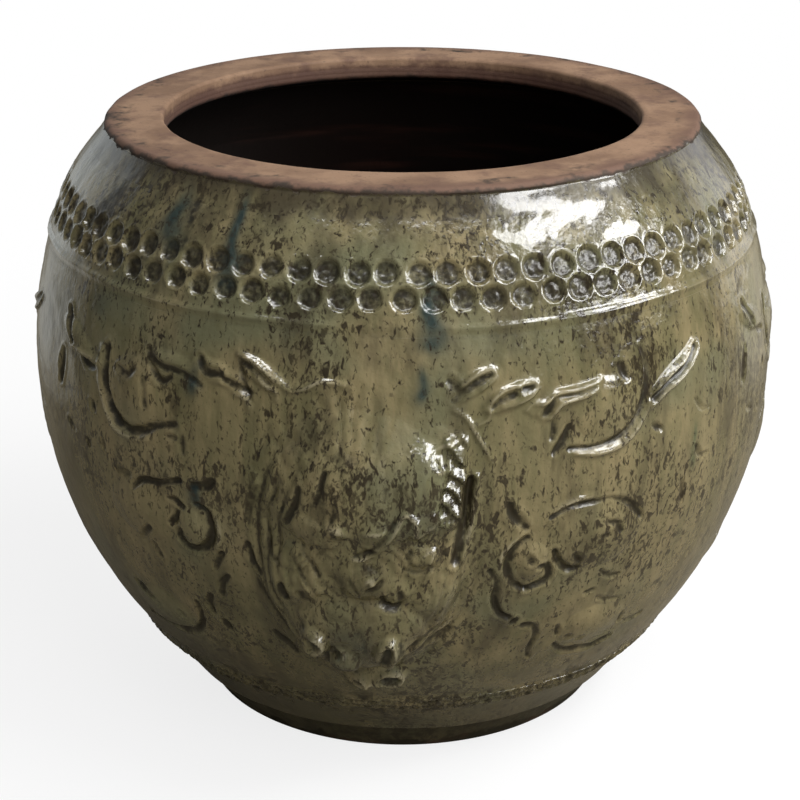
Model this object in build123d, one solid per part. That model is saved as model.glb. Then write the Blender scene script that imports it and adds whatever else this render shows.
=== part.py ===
from build123d import *
import math
import os

# Overall form of the jar, in millimetres
JAR_HEIGHT = 339.0
BELLY_RADIUS = 210.0
FOOT_RADIUS = 117.5
WALL = 14.0

# Heavy flat lip round the mouth, and the section of clay that it is thrown from
MOUTH_RADIUS = 132.0
LIP_WIDTH = 33.0
LIP_RADIUS = MOUTH_RADIUS + LIP_WIDTH
LIP_EDGE_ROUND = 3.0
LIP_FACE_HEIGHT = 12.0
RIM_DEPTH = 14.0

# Floor slab and the ring round it, from which the foot flares out into the belly
FOOT_HEIGHT = 20.0
FOOT_RING_WIDTH = 17.5
FLOOR_RADIUS = FOOT_RADIUS - FOOT_RING_WIDTH
FLOOR_THICKNESS = 16.0
FLOOR_BEVEL = 4.0
FOOT_LEDGE = 3.0
FLARE_HEIGHT = 41.0

# Heights where one clay section ends and the next is luted on, as shares of the jar's height
LOWER_JOINT_SHARE = 0.36
BELLY_SHARE = 0.599
SHOULDER_SHARE = 0.841
LOWER_JOINT_HEIGHT = JAR_HEIGHT * LOWER_JOINT_SHARE
BELLY_HEIGHT = JAR_HEIGHT * BELLY_SHARE
SHOULDER_HEIGHT = JAR_HEIGHT * SHOULDER_SHARE
RIM_JOINT_HEIGHT = JAR_HEIGHT - RIM_DEPTH

# How far out the outline has come, as a share of the way to the belly: at the top of the
# flare from the foot, and at the shoulder joint and under the lip from the lip
FLARE_OUT_SHARE = 0.349
SHOULDER_OUT_SHARE = 0.6965
NECK_OUT_SHARE = 0.1787

# The round is made of fine flats, one to each dimple of a row, and the outline of short steps
FLATS = 81
OUTER_STEP = 24.0
INNER_STEP = 42.0

# Dimpled band: a strip in a rebate above the shoulder joint, pressed in two staggered rows
BAND_WIDTH = 25.0
BAND_TOP_HEIGHT = SHOULDER_HEIGHT + BAND_WIDTH
BAND_DEPTH = 5.0
DIMPLE_ROW_SHARES = (0.70, 0.25)
DIMPLE_RADIUS = 5.8
DIMPLE_DEPTH = 2.2
DIMPLE_SIDES = 6

# Fine cordon under the dimples, and the thin strip above the flare that takes small stamps
CORDON_DROP = 6.0
CORDON_HEIGHT = SHOULDER_HEIGHT - CORDON_DROP
CORDON_HALF_WIDTH = 3.2
CORDON_PROUD = 1.8
STRIP_RISE = 2.0
STRIP_WIDTH = 11.0
STRIP_LOW_HEIGHT = FLARE_HEIGHT + STRIP_RISE
STRIP_HIGH_HEIGHT = STRIP_LOW_HEIGHT + STRIP_WIDTH
STRIP_PROUD = 1.6

# Beast mask, repeated round the belly, and the sprigs beside it
MASK_COUNT = 3
MASK_SHARE = 0.487
MASK_HEIGHT = JAR_HEIGHT * MASK_SHARE
MASK_HALF_WIDTH = 54.0
MASK_HALF_LENGTH = 82.0
MASK_PROUD = 12.0
FEATURE_PROUD = 4.5
TOOTH_RADIUS = 7.0
SPRIG_PROUD = 3.2
SPRIG_LENGTH = 20.0

# A pad is the top of an egg: the egg's depth, as a share of how far the pad falls to its
# edge. Its face is made in rings of facets, sized as shares of the pad's own outline, and
# each kind of pad has its rings and the number of facets to a ring
EGG_DEPTH_SHARE = 2.6
FACE_RING_SHARES = (0.30, 0.60, 0.84, 1.05)
BROAD_RING_SHARES = (0.38, 0.76, 1.05)
SMALL_RING_SHARES = (0.55, 1.05)
FACE_FACETS = (FACE_RING_SHARES, 16)
BROAD_FACETS = (BROAD_RING_SHARES, 12)
SMALL_FACETS = (SMALL_RING_SHARES, 6)

# Pads on the mask: across and up from its middle, half width and half length, as shares
# of the mask's own half width and half length, proud as a share, and the turn in degrees
FOREHEAD_SHARES = [(0.0, 0.52, 0.76, 0.36, 1.0, 0)]
MUZZLE_SHARES = [(0.0, -0.55, 0.64, 0.36, 1.5, 0)]
NOSE_SHARES = [(0.0, -0.05, 0.22, 0.15, 1.3, 0)]
BROW_SHARES = [(-0.34, 0.19, 0.34, 0.055, 0.9, -32), (0.34, 0.19, 0.34, 0.055, 0.9, 32)]
EYE_SHARES = [(-0.52, 0.05, 0.17, 0.07, 0.8, -12), (0.52, 0.05, 0.17, 0.07, 0.8, 12)]

# Teeth: across and up from the muzzle's middle, as shares of its half width and half length
TEETH_SHARES = [(-0.62, -0.02), (-0.20, -0.36), (0.44, -0.10)]

# Sprigs on the wall, left and right: across as a share of the way to halfway between two
# masks, height as a share of the jar's, half width and half length as shares of the sprig
# length, proud as a share, and turn in degrees
CHIN_LIP_SHARES = [(0.023, 0.227, 1.10, 0.40, 1.0, 4)]
EAR_SHARES = [(-0.224, 0.749, 0.85, 0.32, 1.0, -28), (0.261, 0.744, 0.70, 0.30, 1.0, 32)]
LOCK_SHARES = [
    (-0.466, 0.740, 1.00, 0.27, 0.8, -6),
    (-0.335, 0.740, 0.75, 0.30, 0.9, -14),
    (0.345, 0.720, 0.80, 0.32, 0.9, 18),
    (0.475, 0.708, 1.10, 0.27, 0.9, 14),
]
LEAF_SHARES = [(-0.578, 0.684, 1.00, 0.95, 0.9, 0), (0.587, 0.684, 1.05, 0.85, 0.9, 0)]
TAIL_SHARES = [(-0.820, 0.726, 1.00, 0.35, 0.8, -18), (0.801, 0.711, 1.10, 0.25, 0.8, 26)]
CURL_SHARES = [(-0.419, 0.487, 0.45, 0.60, 0.9, 0), (0.410, 0.451, 0.45, 0.60, 0.9, 0)]
CHEEK_SHARES = [(-0.578, 0.487, 1.30, 0.90, 0.9, 6), (0.587, 0.472, 1.40, 1.00, 0.9, -6)]
LOWER_LEAF_SHARES = [(-0.634, 0.286, 1.30, 0.75, 0.8, 4), (0.643, 0.289, 1.30, 0.75, 0.8, -4)]


class Arc:
    """Arc of the outline that leaves a point square to a direction and passes an end point."""

    def __init__(self, start, square, end):
        run = end - start
        self.radius = -run.dot(run) / (2 * run.dot(square))
        self.centre = start - square * self.radius

    def at(self, height):
        """Radius and height of the outer face, and the direction square to it."""
        reach = math.sqrt(self.radius**2 - (height - self.centre.Y) ** 2)
        point = Vector(self.centre.X + reach, height)
        return point, (point - self.centre).normalized()


def partway_to_belly(radius, share, height):
    return Vector(radius + (BELLY_RADIUS - radius) * share, height)


def belly_arc(end):
    """Arc that is upright at the belly, where the jar is widest."""
    return Arc(Vector(BELLY_RADIUS, BELLY_HEIGHT), Vector(1, 0), end)


def flare_top():
    return partway_to_belly(FOOT_RADIUS, FLARE_OUT_SHARE, FLARE_HEIGHT)


def lower_arc():
    return belly_arc(flare_top())


def upper_arc():
    return belly_arc(partway_to_belly(LIP_RADIUS, SHOULDER_OUT_SHARE, SHOULDER_HEIGHT))


def shoulder_arc():
    start, square = upper_arc().at(SHOULDER_HEIGHT)
    return Arc(start, square, partway_to_belly(LIP_RADIUS, NECK_OUT_SHARE, RIM_JOINT_HEIGHT))


def outline(height):
    """Radius and height of the outer face, and the direction square to the wall there."""
    if height < FLARE_HEIGHT:
        foot = Vector(FOOT_RADIUS, 0)
        run = flare_top() - foot
        return foot + run * (height / FLARE_HEIGHT), Vector(run.Y, -run.X).normalized()
    if height < BELLY_HEIGHT:
        return lower_arc().at(height)
    if height < SHOULDER_HEIGHT:
        return upper_arc().at(height)
    return shoulder_arc().at(height)


def within(height, depth):
    """Point a given depth inside the outer face, square to the wall."""
    point, square = outline(height)
    return point - square * depth


def wall_points(low, high, depth, step_height):
    """Points up one face of the wall, both ends included."""
    count = max(1, round(abs(high - low) / step_height))
    return [within(low + (high - low) * step / count, depth) for step in range(count + 1)]


def outer_points(*heights):
    """Outer face through the given heights, each stretch divided into short steps."""
    points = [within(heights[0], 0)]
    for low, high in zip(heights, heights[1:]):
        points += wall_points(low, high, 0, OUTER_STEP)[1:]
    return points


def swung(point, flat):
    """A point of the section, swung round the jar to one corner between two flats."""
    turn = 2 * math.pi * flat / FLATS
    return Vector(point.X * math.sin(turn), -point.X * math.cos(turn), point.Y)


def flats_between(low, high):
    """One trapezoid for each flat, between two points of the section."""
    faces = []
    for flat in range(FLATS):
        corners = [swung(low, flat), swung(low, flat + 1), swung(high, flat + 1), swung(high, flat)]
        faces.append(Face(Wire.make_polygon(corners)))
    return faces


def cap(point):
    return Face(Wire.make_polygon([swung(point, flat) for flat in range(FLATS)]))


def sewn(faces):
    return Solid(Shell(faces)).fix()


def ring(section):
    """Ring from the closed outline of half its section."""
    faces = []
    for low, high in zip(section, section[1:] + section[:1]):
        faces += flats_between(low, high)
    return sewn(faces)


def block(side):
    """Solid block from the outline of its side, closed flat below and above."""
    faces = [cap(side[0]), cap(side[-1])]
    for low, high in zip(side, side[1:]):
        faces += flats_between(low, high)
    return sewn(faces)


def wall_section(outer, low, high):
    """Ring of wall under an outer face, its two ends cut square to the wall for luting."""
    inner = wall_points(high, low, WALL, INNER_STEP)
    return ring(outer + inner)


def jar_form():
    """The whole outer form as one block, used to cut the backs of the sprigs."""
    joints = [LOWER_JOINT_HEIGHT, BELLY_HEIGHT, SHOULDER_HEIGHT, BAND_TOP_HEIGHT]
    return block(outer_points(0, FOOT_HEIGHT, FLARE_HEIGHT, *joints, RIM_JOINT_HEIGHT))


def base_disc():
    edge_top = Vector(FLOOR_RADIUS + FLOOR_BEVEL, FLOOR_THICKNESS)
    return block([Vector(FLOOR_RADIUS, 0), edge_top])


def foot_ring():
    """Ring under the wall, stepped in below it to leave a ledge."""
    return ring(
        [
            Vector(FLOOR_RADIUS, 0),
            Vector(FOOT_RADIUS, 0),
            within(FOOT_HEIGHT, FOOT_LEDGE),
            within(FOOT_HEIGHT, WALL),
            Vector(FLOOR_RADIUS + FLOOR_BEVEL, FLOOR_THICKNESS),
        ]
    )


def lower_wall():
    outer = outer_points(FOOT_HEIGHT, FLARE_HEIGHT, LOWER_JOINT_HEIGHT)
    return wall_section(outer, FOOT_HEIGHT, LOWER_JOINT_HEIGHT)


def belly_lower_wall():
    outer = outer_points(LOWER_JOINT_HEIGHT, BELLY_HEIGHT)
    return wall_section(outer, LOWER_JOINT_HEIGHT, BELLY_HEIGHT)


def belly_upper_wall():
    outer = outer_points(BELLY_HEIGHT, SHOULDER_HEIGHT)
    return wall_section(outer, BELLY_HEIGHT, SHOULDER_HEIGHT)


def shoulder_wall():
    """Shoulder with the rebate for the dimpled band at its foot."""
    rebate = wall_points(SHOULDER_HEIGHT, BAND_TOP_HEIGHT, BAND_DEPTH, OUTER_STEP)
    smooth = outer_points(BAND_TOP_HEIGHT, RIM_JOINT_HEIGHT)
    return wall_section(rebate + smooth, SHOULDER_HEIGHT, RIM_JOINT_HEIGHT)


def rim():
    """Heavy lip: a flat top with rounded edges, overhanging the wall inside."""
    return ring(
        [
            within(RIM_JOINT_HEIGHT, 0),
            Vector(LIP_RADIUS, JAR_HEIGHT - LIP_EDGE_ROUND),
            Vector(LIP_RADIUS - LIP_EDGE_ROUND, JAR_HEIGHT),
            Vector(MOUTH_RADIUS + LIP_EDGE_ROUND, JAR_HEIGHT),
            Vector(MOUTH_RADIUS, JAR_HEIGHT - LIP_EDGE_ROUND),
            Vector(MOUTH_RADIUS, JAR_HEIGHT - LIP_FACE_HEIGHT),
            within(RIM_JOINT_HEIGHT, WALL),
        ]
    )


def wall_seat(degrees, height):
    """Plane on the outer face: X across to the right, Y up along the wall, Z outwards."""
    point, square = outline(height)
    turn = math.radians(degrees)
    side, front = math.sin(turn), -math.cos(turn)
    return Plane(
        origin=(point.X * side, point.X * front, height),
        x_dir=(-front, side, 0),
        z_dir=(square.X * side, square.X * front, square.Y),
    )


def dimple_tool():
    """Faceted fingertip, its point one dimple depth below the face it is pressed in."""
    top = Vector(0, 2 * DIMPLE_RADIUS, DIMPLE_DEPTH)
    mouth = [top.rotate(Axis.Z, 360 * side / DIMPLE_SIDES) for side in range(DIMPLE_SIDES)]
    tip = Vector(0, 0, -DIMPLE_DEPTH)
    sides = [Face(Wire.make_polygon([a, b, tip])) for a, b in zip(mouth, mouth[1:] + mouth[:1])]
    return sewn([Face(Wire.make_polygon(mouth)), *sides])


def dimpled_band():
    """Strip on the rebate, pressed all round: the upper row between the dimples below."""
    back = wall_points(BAND_TOP_HEIGHT, SHOULDER_HEIGHT, BAND_DEPTH, OUTER_STEP)
    strip = ring(outer_points(SHOULDER_HEIGHT, BAND_TOP_HEIGHT) + back)
    pitch = 360 / FLATS
    tool = dimple_tool()
    presses = []
    for row, share in enumerate(DIMPLE_ROW_SHARES):
        height = SHOULDER_HEIGHT + BAND_WIDTH * share
        for step in range(FLATS):
            presses.append(wall_seat(pitch * (step + row / 2), height) * tool)
    return strip - presses


def shoulder_cordon():
    low, high = CORDON_HEIGHT - CORDON_HALF_WIDTH, CORDON_HEIGHT + CORDON_HALF_WIDTH
    return ring([within(low, 0), within(CORDON_HEIGHT, -CORDON_PROUD), within(high, 0)])


def lower_stamped_band():
    low, high = STRIP_LOW_HEIGHT, STRIP_HIGH_HEIGHT
    return ring(
        [
            within(low, 0),
            within(low, -STRIP_PROUD),
            within(high, -STRIP_PROUD),
            within(high, 0),
        ]
    )


class Pad:
    """Rounded pad of clay: the top of an egg sunk in the surface that carries it."""

    def __init__(self, seat, half_width, half_length, proud, bends, facets=SMALL_FACETS):
        bend_across, bend_along = bends
        fall_across = proud + half_width**2 / (2 * bend_across)
        fall_along = proud + half_length**2 / (2 * bend_along)
        self.half_width = half_width
        self.half_length = half_length
        self.fall = max(fall_across, fall_along)
        self.depth = EGG_DEPTH_SHARE * self.fall
        self.across = half_width / self.spread(fall_across)
        self.along = half_length / self.spread(fall_along)
        self.middle = seat.offset(proud - self.depth)
        self.rings, self.sides = facets

    def spread(self, fall):
        """Share of the egg's own half width at which its face has fallen so far."""
        return math.sqrt(1 - (1 - fall / self.depth) ** 2)

    def ring_corners(self, share):
        level = self.depth - self.fall * share**2
        spread = self.spread(self.depth - level)
        turns = [2 * math.pi * side / self.sides for side in range(self.sides)]
        across, along = self.across * spread, self.along * spread
        return [Vector(across * math.cos(turn), along * math.sin(turn), level) for turn in turns]

    def solid(self):
        rings = [self.ring_corners(share) for share in self.rings]
        faces = [Face(Wire.make_polygon(rings[0])), Face(Wire.make_polygon(rings[-1]))]
        for upper, lower in zip(rings, rings[1:]):
            for side in range(self.sides):
                after = (side + 1) % self.sides
                corners = [upper[side], upper[after], lower[after], lower[side]]
                faces.append(Face(Wire.make_polygon(corners)))
        return self.middle * sewn(faces)

    def bends(self):
        return self.across**2 / self.depth, self.along**2 / self.depth

    def seat(self, right, up, turn):
        """Plane on top of the pad, at a place given in lengths from its middle."""
        level = math.sqrt(1 - (right / self.across) ** 2 - (up / self.along) ** 2)
        square = Vector(right / self.across**2, up / self.along**2, level / self.depth)
        place = Plane((right, up, level * self.depth), x_dir=(1, 0, -square.X / square.Z), z_dir=square)
        return Plane(self.middle.location * place.location).rotated((0, 0, turn))


def wall_bends():
    return BELLY_RADIUS, lower_arc().radius


def face_pad():
    seat = wall_seat(0, MASK_HEIGHT)
    return Pad(seat, MASK_HALF_WIDTH, MASK_HALF_LENGTH, MASK_PROUD, wall_bends(), FACE_FACETS)


def mask_pads(face, places_shares, facets=SMALL_FACETS):
    """Pads seated on the mask's face, one for each row of shares."""
    pads = []
    for right, up, width, length, proud, turn in places_shares:
        seat = face.seat(right * MASK_HALF_WIDTH, up * MASK_HALF_LENGTH, turn)
        size = (width * MASK_HALF_WIDTH, length * MASK_HALF_LENGTH)
        pads.append(Pad(seat, *size, proud * FEATURE_PROUD, face.bends(), facets))
    return pads


def tooth_pads(muzzle):
    pads = []
    for right, up in TEETH_SHARES:
        seat = muzzle.seat(right * muzzle.half_width, up * muzzle.half_length, 0)
        pads.append(Pad(seat, TOOTH_RADIUS, TOOTH_RADIUS, FEATURE_PROUD, muzzle.bends()))
    return pads


def wall_pads(places_shares):
    """Sprigs seated on the wall beside a mask, one for each row of shares."""
    pads = []
    halfway = 180 / MASK_COUNT
    for across, height, width, length, proud, turn in places_shares:
        seat = wall_seat(across * halfway, height * JAR_HEIGHT).rotated((0, 0, turn))
        size = (width * SPRIG_LENGTH, length * SPRIG_LENGTH)
        pads.append(Pad(seat, *size, proud * SPRIG_PROUD, wall_bends()))
    return pads


def luted(pads, laid):
    """Each pad cut by all that was laid before it, so that its back fits what carries it."""
    pieces = []
    for pad in pads:
        solid = pad.solid()
        piece = solid - laid
        pieces.append(piece.solids().sort_by(SortBy.VOLUME)[-1])
        laid.append(solid)
    return pieces


def round_the_belly(pieces):
    """The same pieces on every mask."""
    turns = [Rot(0, 0, 360 * number / MASK_COUNT) for number in range(MASK_COUNT)]
    return Compound([turn * piece for turn in turns for piece in pieces])


def relief():
    """Every sprig in the order of laying: the mask's large forms, then what lies on and by it."""
    face = face_pad()
    muzzle, = mask_pads(face, MUZZLE_SHARES, BROAD_FACETS)
    groups = {
        "mask_faces": [face],
        "mask_foreheads": mask_pads(face, FOREHEAD_SHARES, BROAD_FACETS),
        "mask_muzzles": [muzzle],
        "mask_noses": mask_pads(face, NOSE_SHARES),
        "mask_brows": mask_pads(face, BROW_SHARES),
        "mask_eyes": mask_pads(face, EYE_SHARES),
        "mask_teeth": tooth_pads(muzzle),
        "mask_chin_lips": wall_pads(CHIN_LIP_SHARES),
        "mask_ears": wall_pads(EAR_SHARES),
        "mask_locks": wall_pads(LOCK_SHARES),
        "scroll_leaves": wall_pads(LEAF_SHARES),
        "scroll_tails": wall_pads(TAIL_SHARES),
        "scroll_curls": wall_pads(CURL_SHARES),
        "scroll_cheeks": wall_pads(CHEEK_SHARES),
        "scroll_lower_leaves": wall_pads(LOWER_LEAF_SHARES),
    }
    laid = [jar_form(), shoulder_cordon(), lower_stamped_band()]
    return {name: round_the_belly(luted(pads, laid)) for name, pads in groups.items()}


def jar():
    nodes = {
        "base_disc": base_disc(),
        "foot_ring": foot_ring(),
        "lower_wall": lower_wall(),
        "lower_stamped_band": lower_stamped_band(),
        "belly_lower_wall": belly_lower_wall(),
        "belly_upper_wall": belly_upper_wall(),
        "shoulder_cordon": shoulder_cordon(),
        "shoulder_wall": shoulder_wall(),
        "dimpled_band": dimpled_band(),
        "rim": rim(),
    }
    nodes.update(relief())
    return nodes


os.makedirs("parts", exist_ok=True)
for name, node in jar().items():
    export_step(node, f"parts/{name}.step")
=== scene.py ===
import bpy
import math
import numpy as np
from collections import namedtuple
from mathutils import Euler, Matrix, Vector


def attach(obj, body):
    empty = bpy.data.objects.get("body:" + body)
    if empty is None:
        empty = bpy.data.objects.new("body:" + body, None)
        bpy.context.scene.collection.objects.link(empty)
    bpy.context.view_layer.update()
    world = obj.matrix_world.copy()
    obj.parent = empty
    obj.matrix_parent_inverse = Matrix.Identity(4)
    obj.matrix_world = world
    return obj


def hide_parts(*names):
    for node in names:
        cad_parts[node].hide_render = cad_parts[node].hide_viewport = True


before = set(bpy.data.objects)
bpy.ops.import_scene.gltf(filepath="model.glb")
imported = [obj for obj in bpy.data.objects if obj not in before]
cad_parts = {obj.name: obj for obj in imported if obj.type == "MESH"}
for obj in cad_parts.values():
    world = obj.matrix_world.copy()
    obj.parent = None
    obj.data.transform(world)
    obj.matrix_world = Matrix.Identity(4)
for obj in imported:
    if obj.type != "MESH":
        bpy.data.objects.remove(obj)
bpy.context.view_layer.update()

MM = 0.001

# Sizes of the jar in millimetres, the same as the model's
JAR_HEIGHT = 339.0
BELLY_RADIUS = 210.0
FOOT_RADIUS = 117.5
WALL = 14.0
MOUTH_RADIUS = 132.0
LIP_RADIUS = 165.0
FOOT_HEIGHT = 20.0
FLARE_HEIGHT = 41.0
LOWER_JOINT_HEIGHT = 0.36 * JAR_HEIGHT
BELLY_HEIGHT = 0.599 * JAR_HEIGHT
SHOULDER_HEIGHT = 0.841 * JAR_HEIGHT
BAND_TOP_HEIGHT = SHOULDER_HEIGHT + 25.0
RIM_JOINT_HEIGHT = JAR_HEIGHT - 14.0
FLARE_SHARE = 0.349
SHOULDER_SHARE = 0.6965
NECK_SHARE = 0.1787
FLOOR_THICKNESS = 16.0
FLOOR_RADIUS = 100.0
FLOOR_BEVEL = 4.0
FOOT_LEDGE = 3.0
BAND_DEPTH = 5.0
BAND_CLEARANCE = 0.2
CORDON_HEIGHT = SHOULDER_HEIGHT - 6.0
CORDON_HALF_WIDTH = 3.2
CORDON_RISE = 1.6
STRIP_LOW_HEIGHT = 43.0
STRIP_HIGH_HEIGHT = 54.0
STRIP_RISE = 1.3
STRIP_EDGE = 1.5
CHIN_HEIGHT = 70.0

# Dimples and stamps: how one is pressed, then the shift, height and seed of each row
DIMPLES_IN_ROW = 81
DIMPLE = {
    "Count": float(DIMPLES_IN_ROW), "Radius": 6.9 * MM, "Depth": 2.2 * MM, "Floor": 0.66,
    "Grain": 330.0, "Wander": 0.055,
}
DIMPLE_ROWS = [(0.15, 302.6, 3), (0.65, 291.1, 8)]
STAMPS_IN_ROW = 150
STAMP = {
    "Count": float(STAMPS_IN_ROW), "Radius": 3.25 * MM, "Depth": 1.5 * MM, "Floor": 0.5,
    "Grain": 600.0, "Wander": 0.12,
}
STAMP_ROWS = [(0.0, 51.2, 21), (0.5, 46.2, 34)]

# The relief is drawn on a flattened belly: millimetres across from a mask's middle, and height
DRAWN_RADIUS = 205.0
MASK_COUNT = 3
FACE_HEIGHT = 165.0
FACE_HALF_WIDTH = 56.0
FACE_HALF_LENGTH = 84.0

# The two hidden masks wander from the front one, and keep these shares of its relief
MASK_WANDER = 1.6
HIDDEN_DOME_SHARE = 0.75
HIDDEN_GROOVE_SHARE = 0.65
HIDDEN_EDGE_SHARE = 0.3
BESIDE_THE_FACE = 60.0

# How finely the wall is divided: columns round the jar, and the step up the wall
COLUMNS = 13 * DIMPLES_IN_ROW
ROW_STEP = 1.15
CHIN_ROW_STEP = 1.1 * ROW_STEP
LOW_ROW_STEP = 1.76
BAND_COLUMNS = 18 * DIMPLES_IN_ROW
BAND_ROW_STEP = 0.8
RIM_ROW_STEP = 1.1
INNER_ROW_STEP = 9.0
SLAB_COLUMNS = 3 * DIMPLES_IN_ROW

# A piece laid on the wall is let this far into what carries it, and is this thick
LAID_IN = 1.2
LAID_THICKNESS = 0.92 * LAID_IN

# Unevenness of the thrown wall: how far it sits in, then size, bumps round, height of each, seed
THROWN_IN = 0.95
THROWN_LUMPS = [(0.55, 9, 90.0, 1), (0.30, 40, 22.0, 2), (0.19, 110, 8.0, 3), (0.07, 340, 3.2, 4)]

# Marks that the relief leaves in the glaze; the ridge mark also carries painted highlight along raised edges
MARKS = ("hollow", "ridge", "copper", "green")


# Form of the wall
def arc(start, square, end):
    """Middle and radius of the arc that leaves a point square to a direction and passes another."""
    run = end - start
    radius = -(run @ run) / (2 * run @ square)
    return start - square * radius, radius


OUTWARD = np.array([1.0, 0.0])
BELLY = np.array([BELLY_RADIUS, BELLY_HEIGHT])
FLARE_TOP = np.array([FOOT_RADIUS + FLARE_SHARE * (BELLY_RADIUS - FOOT_RADIUS), FLARE_HEIGHT])
SHOULDER = np.array([LIP_RADIUS + SHOULDER_SHARE * (BELLY_RADIUS - LIP_RADIUS), SHOULDER_HEIGHT])
NECK = np.array([LIP_RADIUS + NECK_SHARE * (BELLY_RADIUS - LIP_RADIUS), RIM_JOINT_HEIGHT])
LOWER_ARC = arc(BELLY, OUTWARD, FLARE_TOP)
UPPER_ARC = arc(BELLY, OUTWARD, SHOULDER)
SHOULDER_ARC = arc(SHOULDER, (SHOULDER - UPPER_ARC[0]) / UPPER_ARC[1], NECK)


def outline(heights):
    """Radius of the outer wall, and the outward and upward parts of its square direction."""
    z = np.asarray(heights, float)
    run = FLARE_TOP - (FOOT_RADIUS, 0)
    slant = math.hypot(*run)
    radius = FOOT_RADIUS + run[0] * z / run[1]
    outward, upward = run[1] / slant + 0 * z, -run[0] / slant + 0 * z
    for (middle, bend), low, high in (
        (LOWER_ARC, FLARE_HEIGHT, BELLY_HEIGHT),
        (UPPER_ARC, BELLY_HEIGHT, SHOULDER_HEIGHT),
        (SHOULDER_ARC, SHOULDER_HEIGHT, JAR_HEIGHT),
    ):
        rise = np.clip(z, low, high) - middle[1]
        reach = np.sqrt(bend**2 - rise**2)
        radius = np.where(z >= low, middle[0] + reach, radius)
        outward = np.where(z >= low, reach / bend, outward)
        upward = np.where(z >= low, rise / bend, upward)
    return radius, outward, upward


def under_wall(height, depth):
    """Radius and height of the point that lies a depth inside the outer wall."""
    radius, outward, upward = (float(part) for part in outline(height))
    return np.array([radius - depth * outward, height - depth * upward])


def ease(start, end, value):
    """Smooth step from 0 to 1 between two edges."""
    share = np.clip((value - start) / (end - start), 0, 1)
    return share * share * (3 - 2 * share)


def within(value, start, full, fading, end):
    """1 between full and fading, and 0 before start and after end."""
    return ease(start, full, value) * (1 - ease(fading, end, value))


def ripple(count):
    """Wave from -1 to 1 that comes round once for each whole count."""
    return np.sin(2 * math.pi * count)


def bell(distance):
    """Rounded bump: 1 in the middle, falling away on both sides."""
    return np.exp(-(distance**2))


def lumps(turn, height, around, tall, seed):
    """Soft unevenness from -1 to 1 that closes round the jar: bumps around, and mm of height to each."""
    grid = np.random.default_rng(seed).uniform(-1, 1, (int(JAR_HEIGHT / tall) + 4, around))
    u = (turn / (2 * math.pi) % 1) * around
    v = np.clip(height / tall + 1, 0, grid.shape[0] - 2)
    i, j = np.floor(u).astype(int), np.floor(v).astype(int)
    a, b = u - i, v - j
    a, b = a * a * (3 - 2 * a), b * b * (3 - 2 * b)
    i, after = i % around, (i + 1) % around
    low = grid[j, i] * (1 - a) + grid[j, after] * a
    high = grid[j + 1, i] * (1 - a) + grid[j + 1, after] * a
    return low * (1 - b) + high * b


# Relief, drawn one by one
Dome = namedtuple("Dome", "name across up half_width half_length proud degrees soft")

# Domes: across, height, half width, half length, how proud, turn in degrees, softness of the edge
DOMES = [
    Dome("face", 0, FACE_HEIGHT, FACE_HALF_WIDTH, FACE_HALF_LENGTH, 13.5, 0, 0.62),
    Dome("forehead", -2, 209, 44, 33, 5.2, 0, 1.2),
    Dome("right temple", 36, 204, 17, 31, 4.2, -6, 1.0),
    Dome("left temple", -40, 200, 12, 22, 2.0, 8, 1.2),
    Dome("left brow knob", -9, 183, 5.5, 5.0, 1.8, 0, 0.9),
    Dome("left temple knob", -30, 216, 6.5, 6.5, 1.6, 0, 0.9),
    Dome("left side knob", -53, 200, 4.5, 7.0, 1.8, 10, 0.9),
    Dome("muzzle", -3, 119, 40, 27, 8.0, 4, 0.75),
    Dome("nose", 3, 157, 15, 13, 4.2, 0, 1.2),
    Dome("frown", 8, 182, 9, 10, 2.6, 20, 1.1),
    Dome("left nostril", -26, 149, 12, 10, 2.4, 10, 1.2),
    Dome("right nostril", 18, 150, 11, 9, 2.4, -10, 1.2),
    Dome("left cheek", -42, 150, 13, 26, 2.6, 6, 1.2),
    Dome("right cheek", 38, 140, 15, 24, 2.6, -8, 1.2),
    Dome("left brow", -23, 181, 19, 8, 3.2, -16, 1.1),
    Dome("right brow", 27, 186, 21, 7, 3.4, 16, 1.0),
    Dome("left eye", -30, 165, 10, 8, 2.2, 30, 1.0),
    Dome("right eye", 31, 169, 9, 7, 2.6, 0, 1.0),
    Dome("left tooth", -23, 119, 8.5, 10.0, 5.4, 0, 0.6),
    Dome("middle tooth", -8, 107, 9.0, 8.5, 5.8, 0, 0.55),
    Dome("right tooth", 15, 115, 8.5, 11.0, 5.4, 10, 0.6),
    Dome("chin lip", 5, 77, 22, 8, 4.0, 4, 0.7),
    Dome("left ear", -48, 254, 17, 6.5, 2.2, -28, 0.9),
    Dome("left mane edge", -20, 250, 17, 4.0, 1.0, 8, 1.0),
    Dome("right ear", 56, 252, 14, 6.0, 2.0, 32, 0.9),
    Dome("right first lock", 74, 244, 16, 6.5, 1.9, 18, 0.9),
    Dome("right second lock", 102, 240, 22, 5.5, 1.7, 14, 0.9),
    Dome("left first lock", -72, 251, 15, 6.0, 1.8, -14, 0.9),
    Dome("left second lock", -100, 251, 20, 5.5, 1.6, -6, 0.9),
    Dome("right leaf", 126, 232, 21, 17, 2.4, 0, 1.0),
    Dome("left leaf", -124, 232, 20, 19, 2.4, 0, 1.0),
    Dome("right tail", 172, 241, 22, 5.6, 2.4, 26, 1.0),
    Dome("left tail", -176, 246, 20, 7.0, 2.6, -18, 0.9),
    Dome("right curl", 88, 153, 9, 12, 2.8, 0, 0.9),
    Dome("left curl", -90, 165, 9, 12, 2.8, 0, 0.9),
    Dome("right scroll", 126, 160, 28, 20, 2.8, -6, 1.2),
    Dome("left scroll", -124, 165, 26, 18, 2.8, 6, 1.2),
    Dome("right lower scroll", 138, 98, 26, 15, 2.6, -4, 1.2),
    Dome("left lower scroll", -136, 97, 26, 15, 2.6, 4, 1.2),
]

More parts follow.
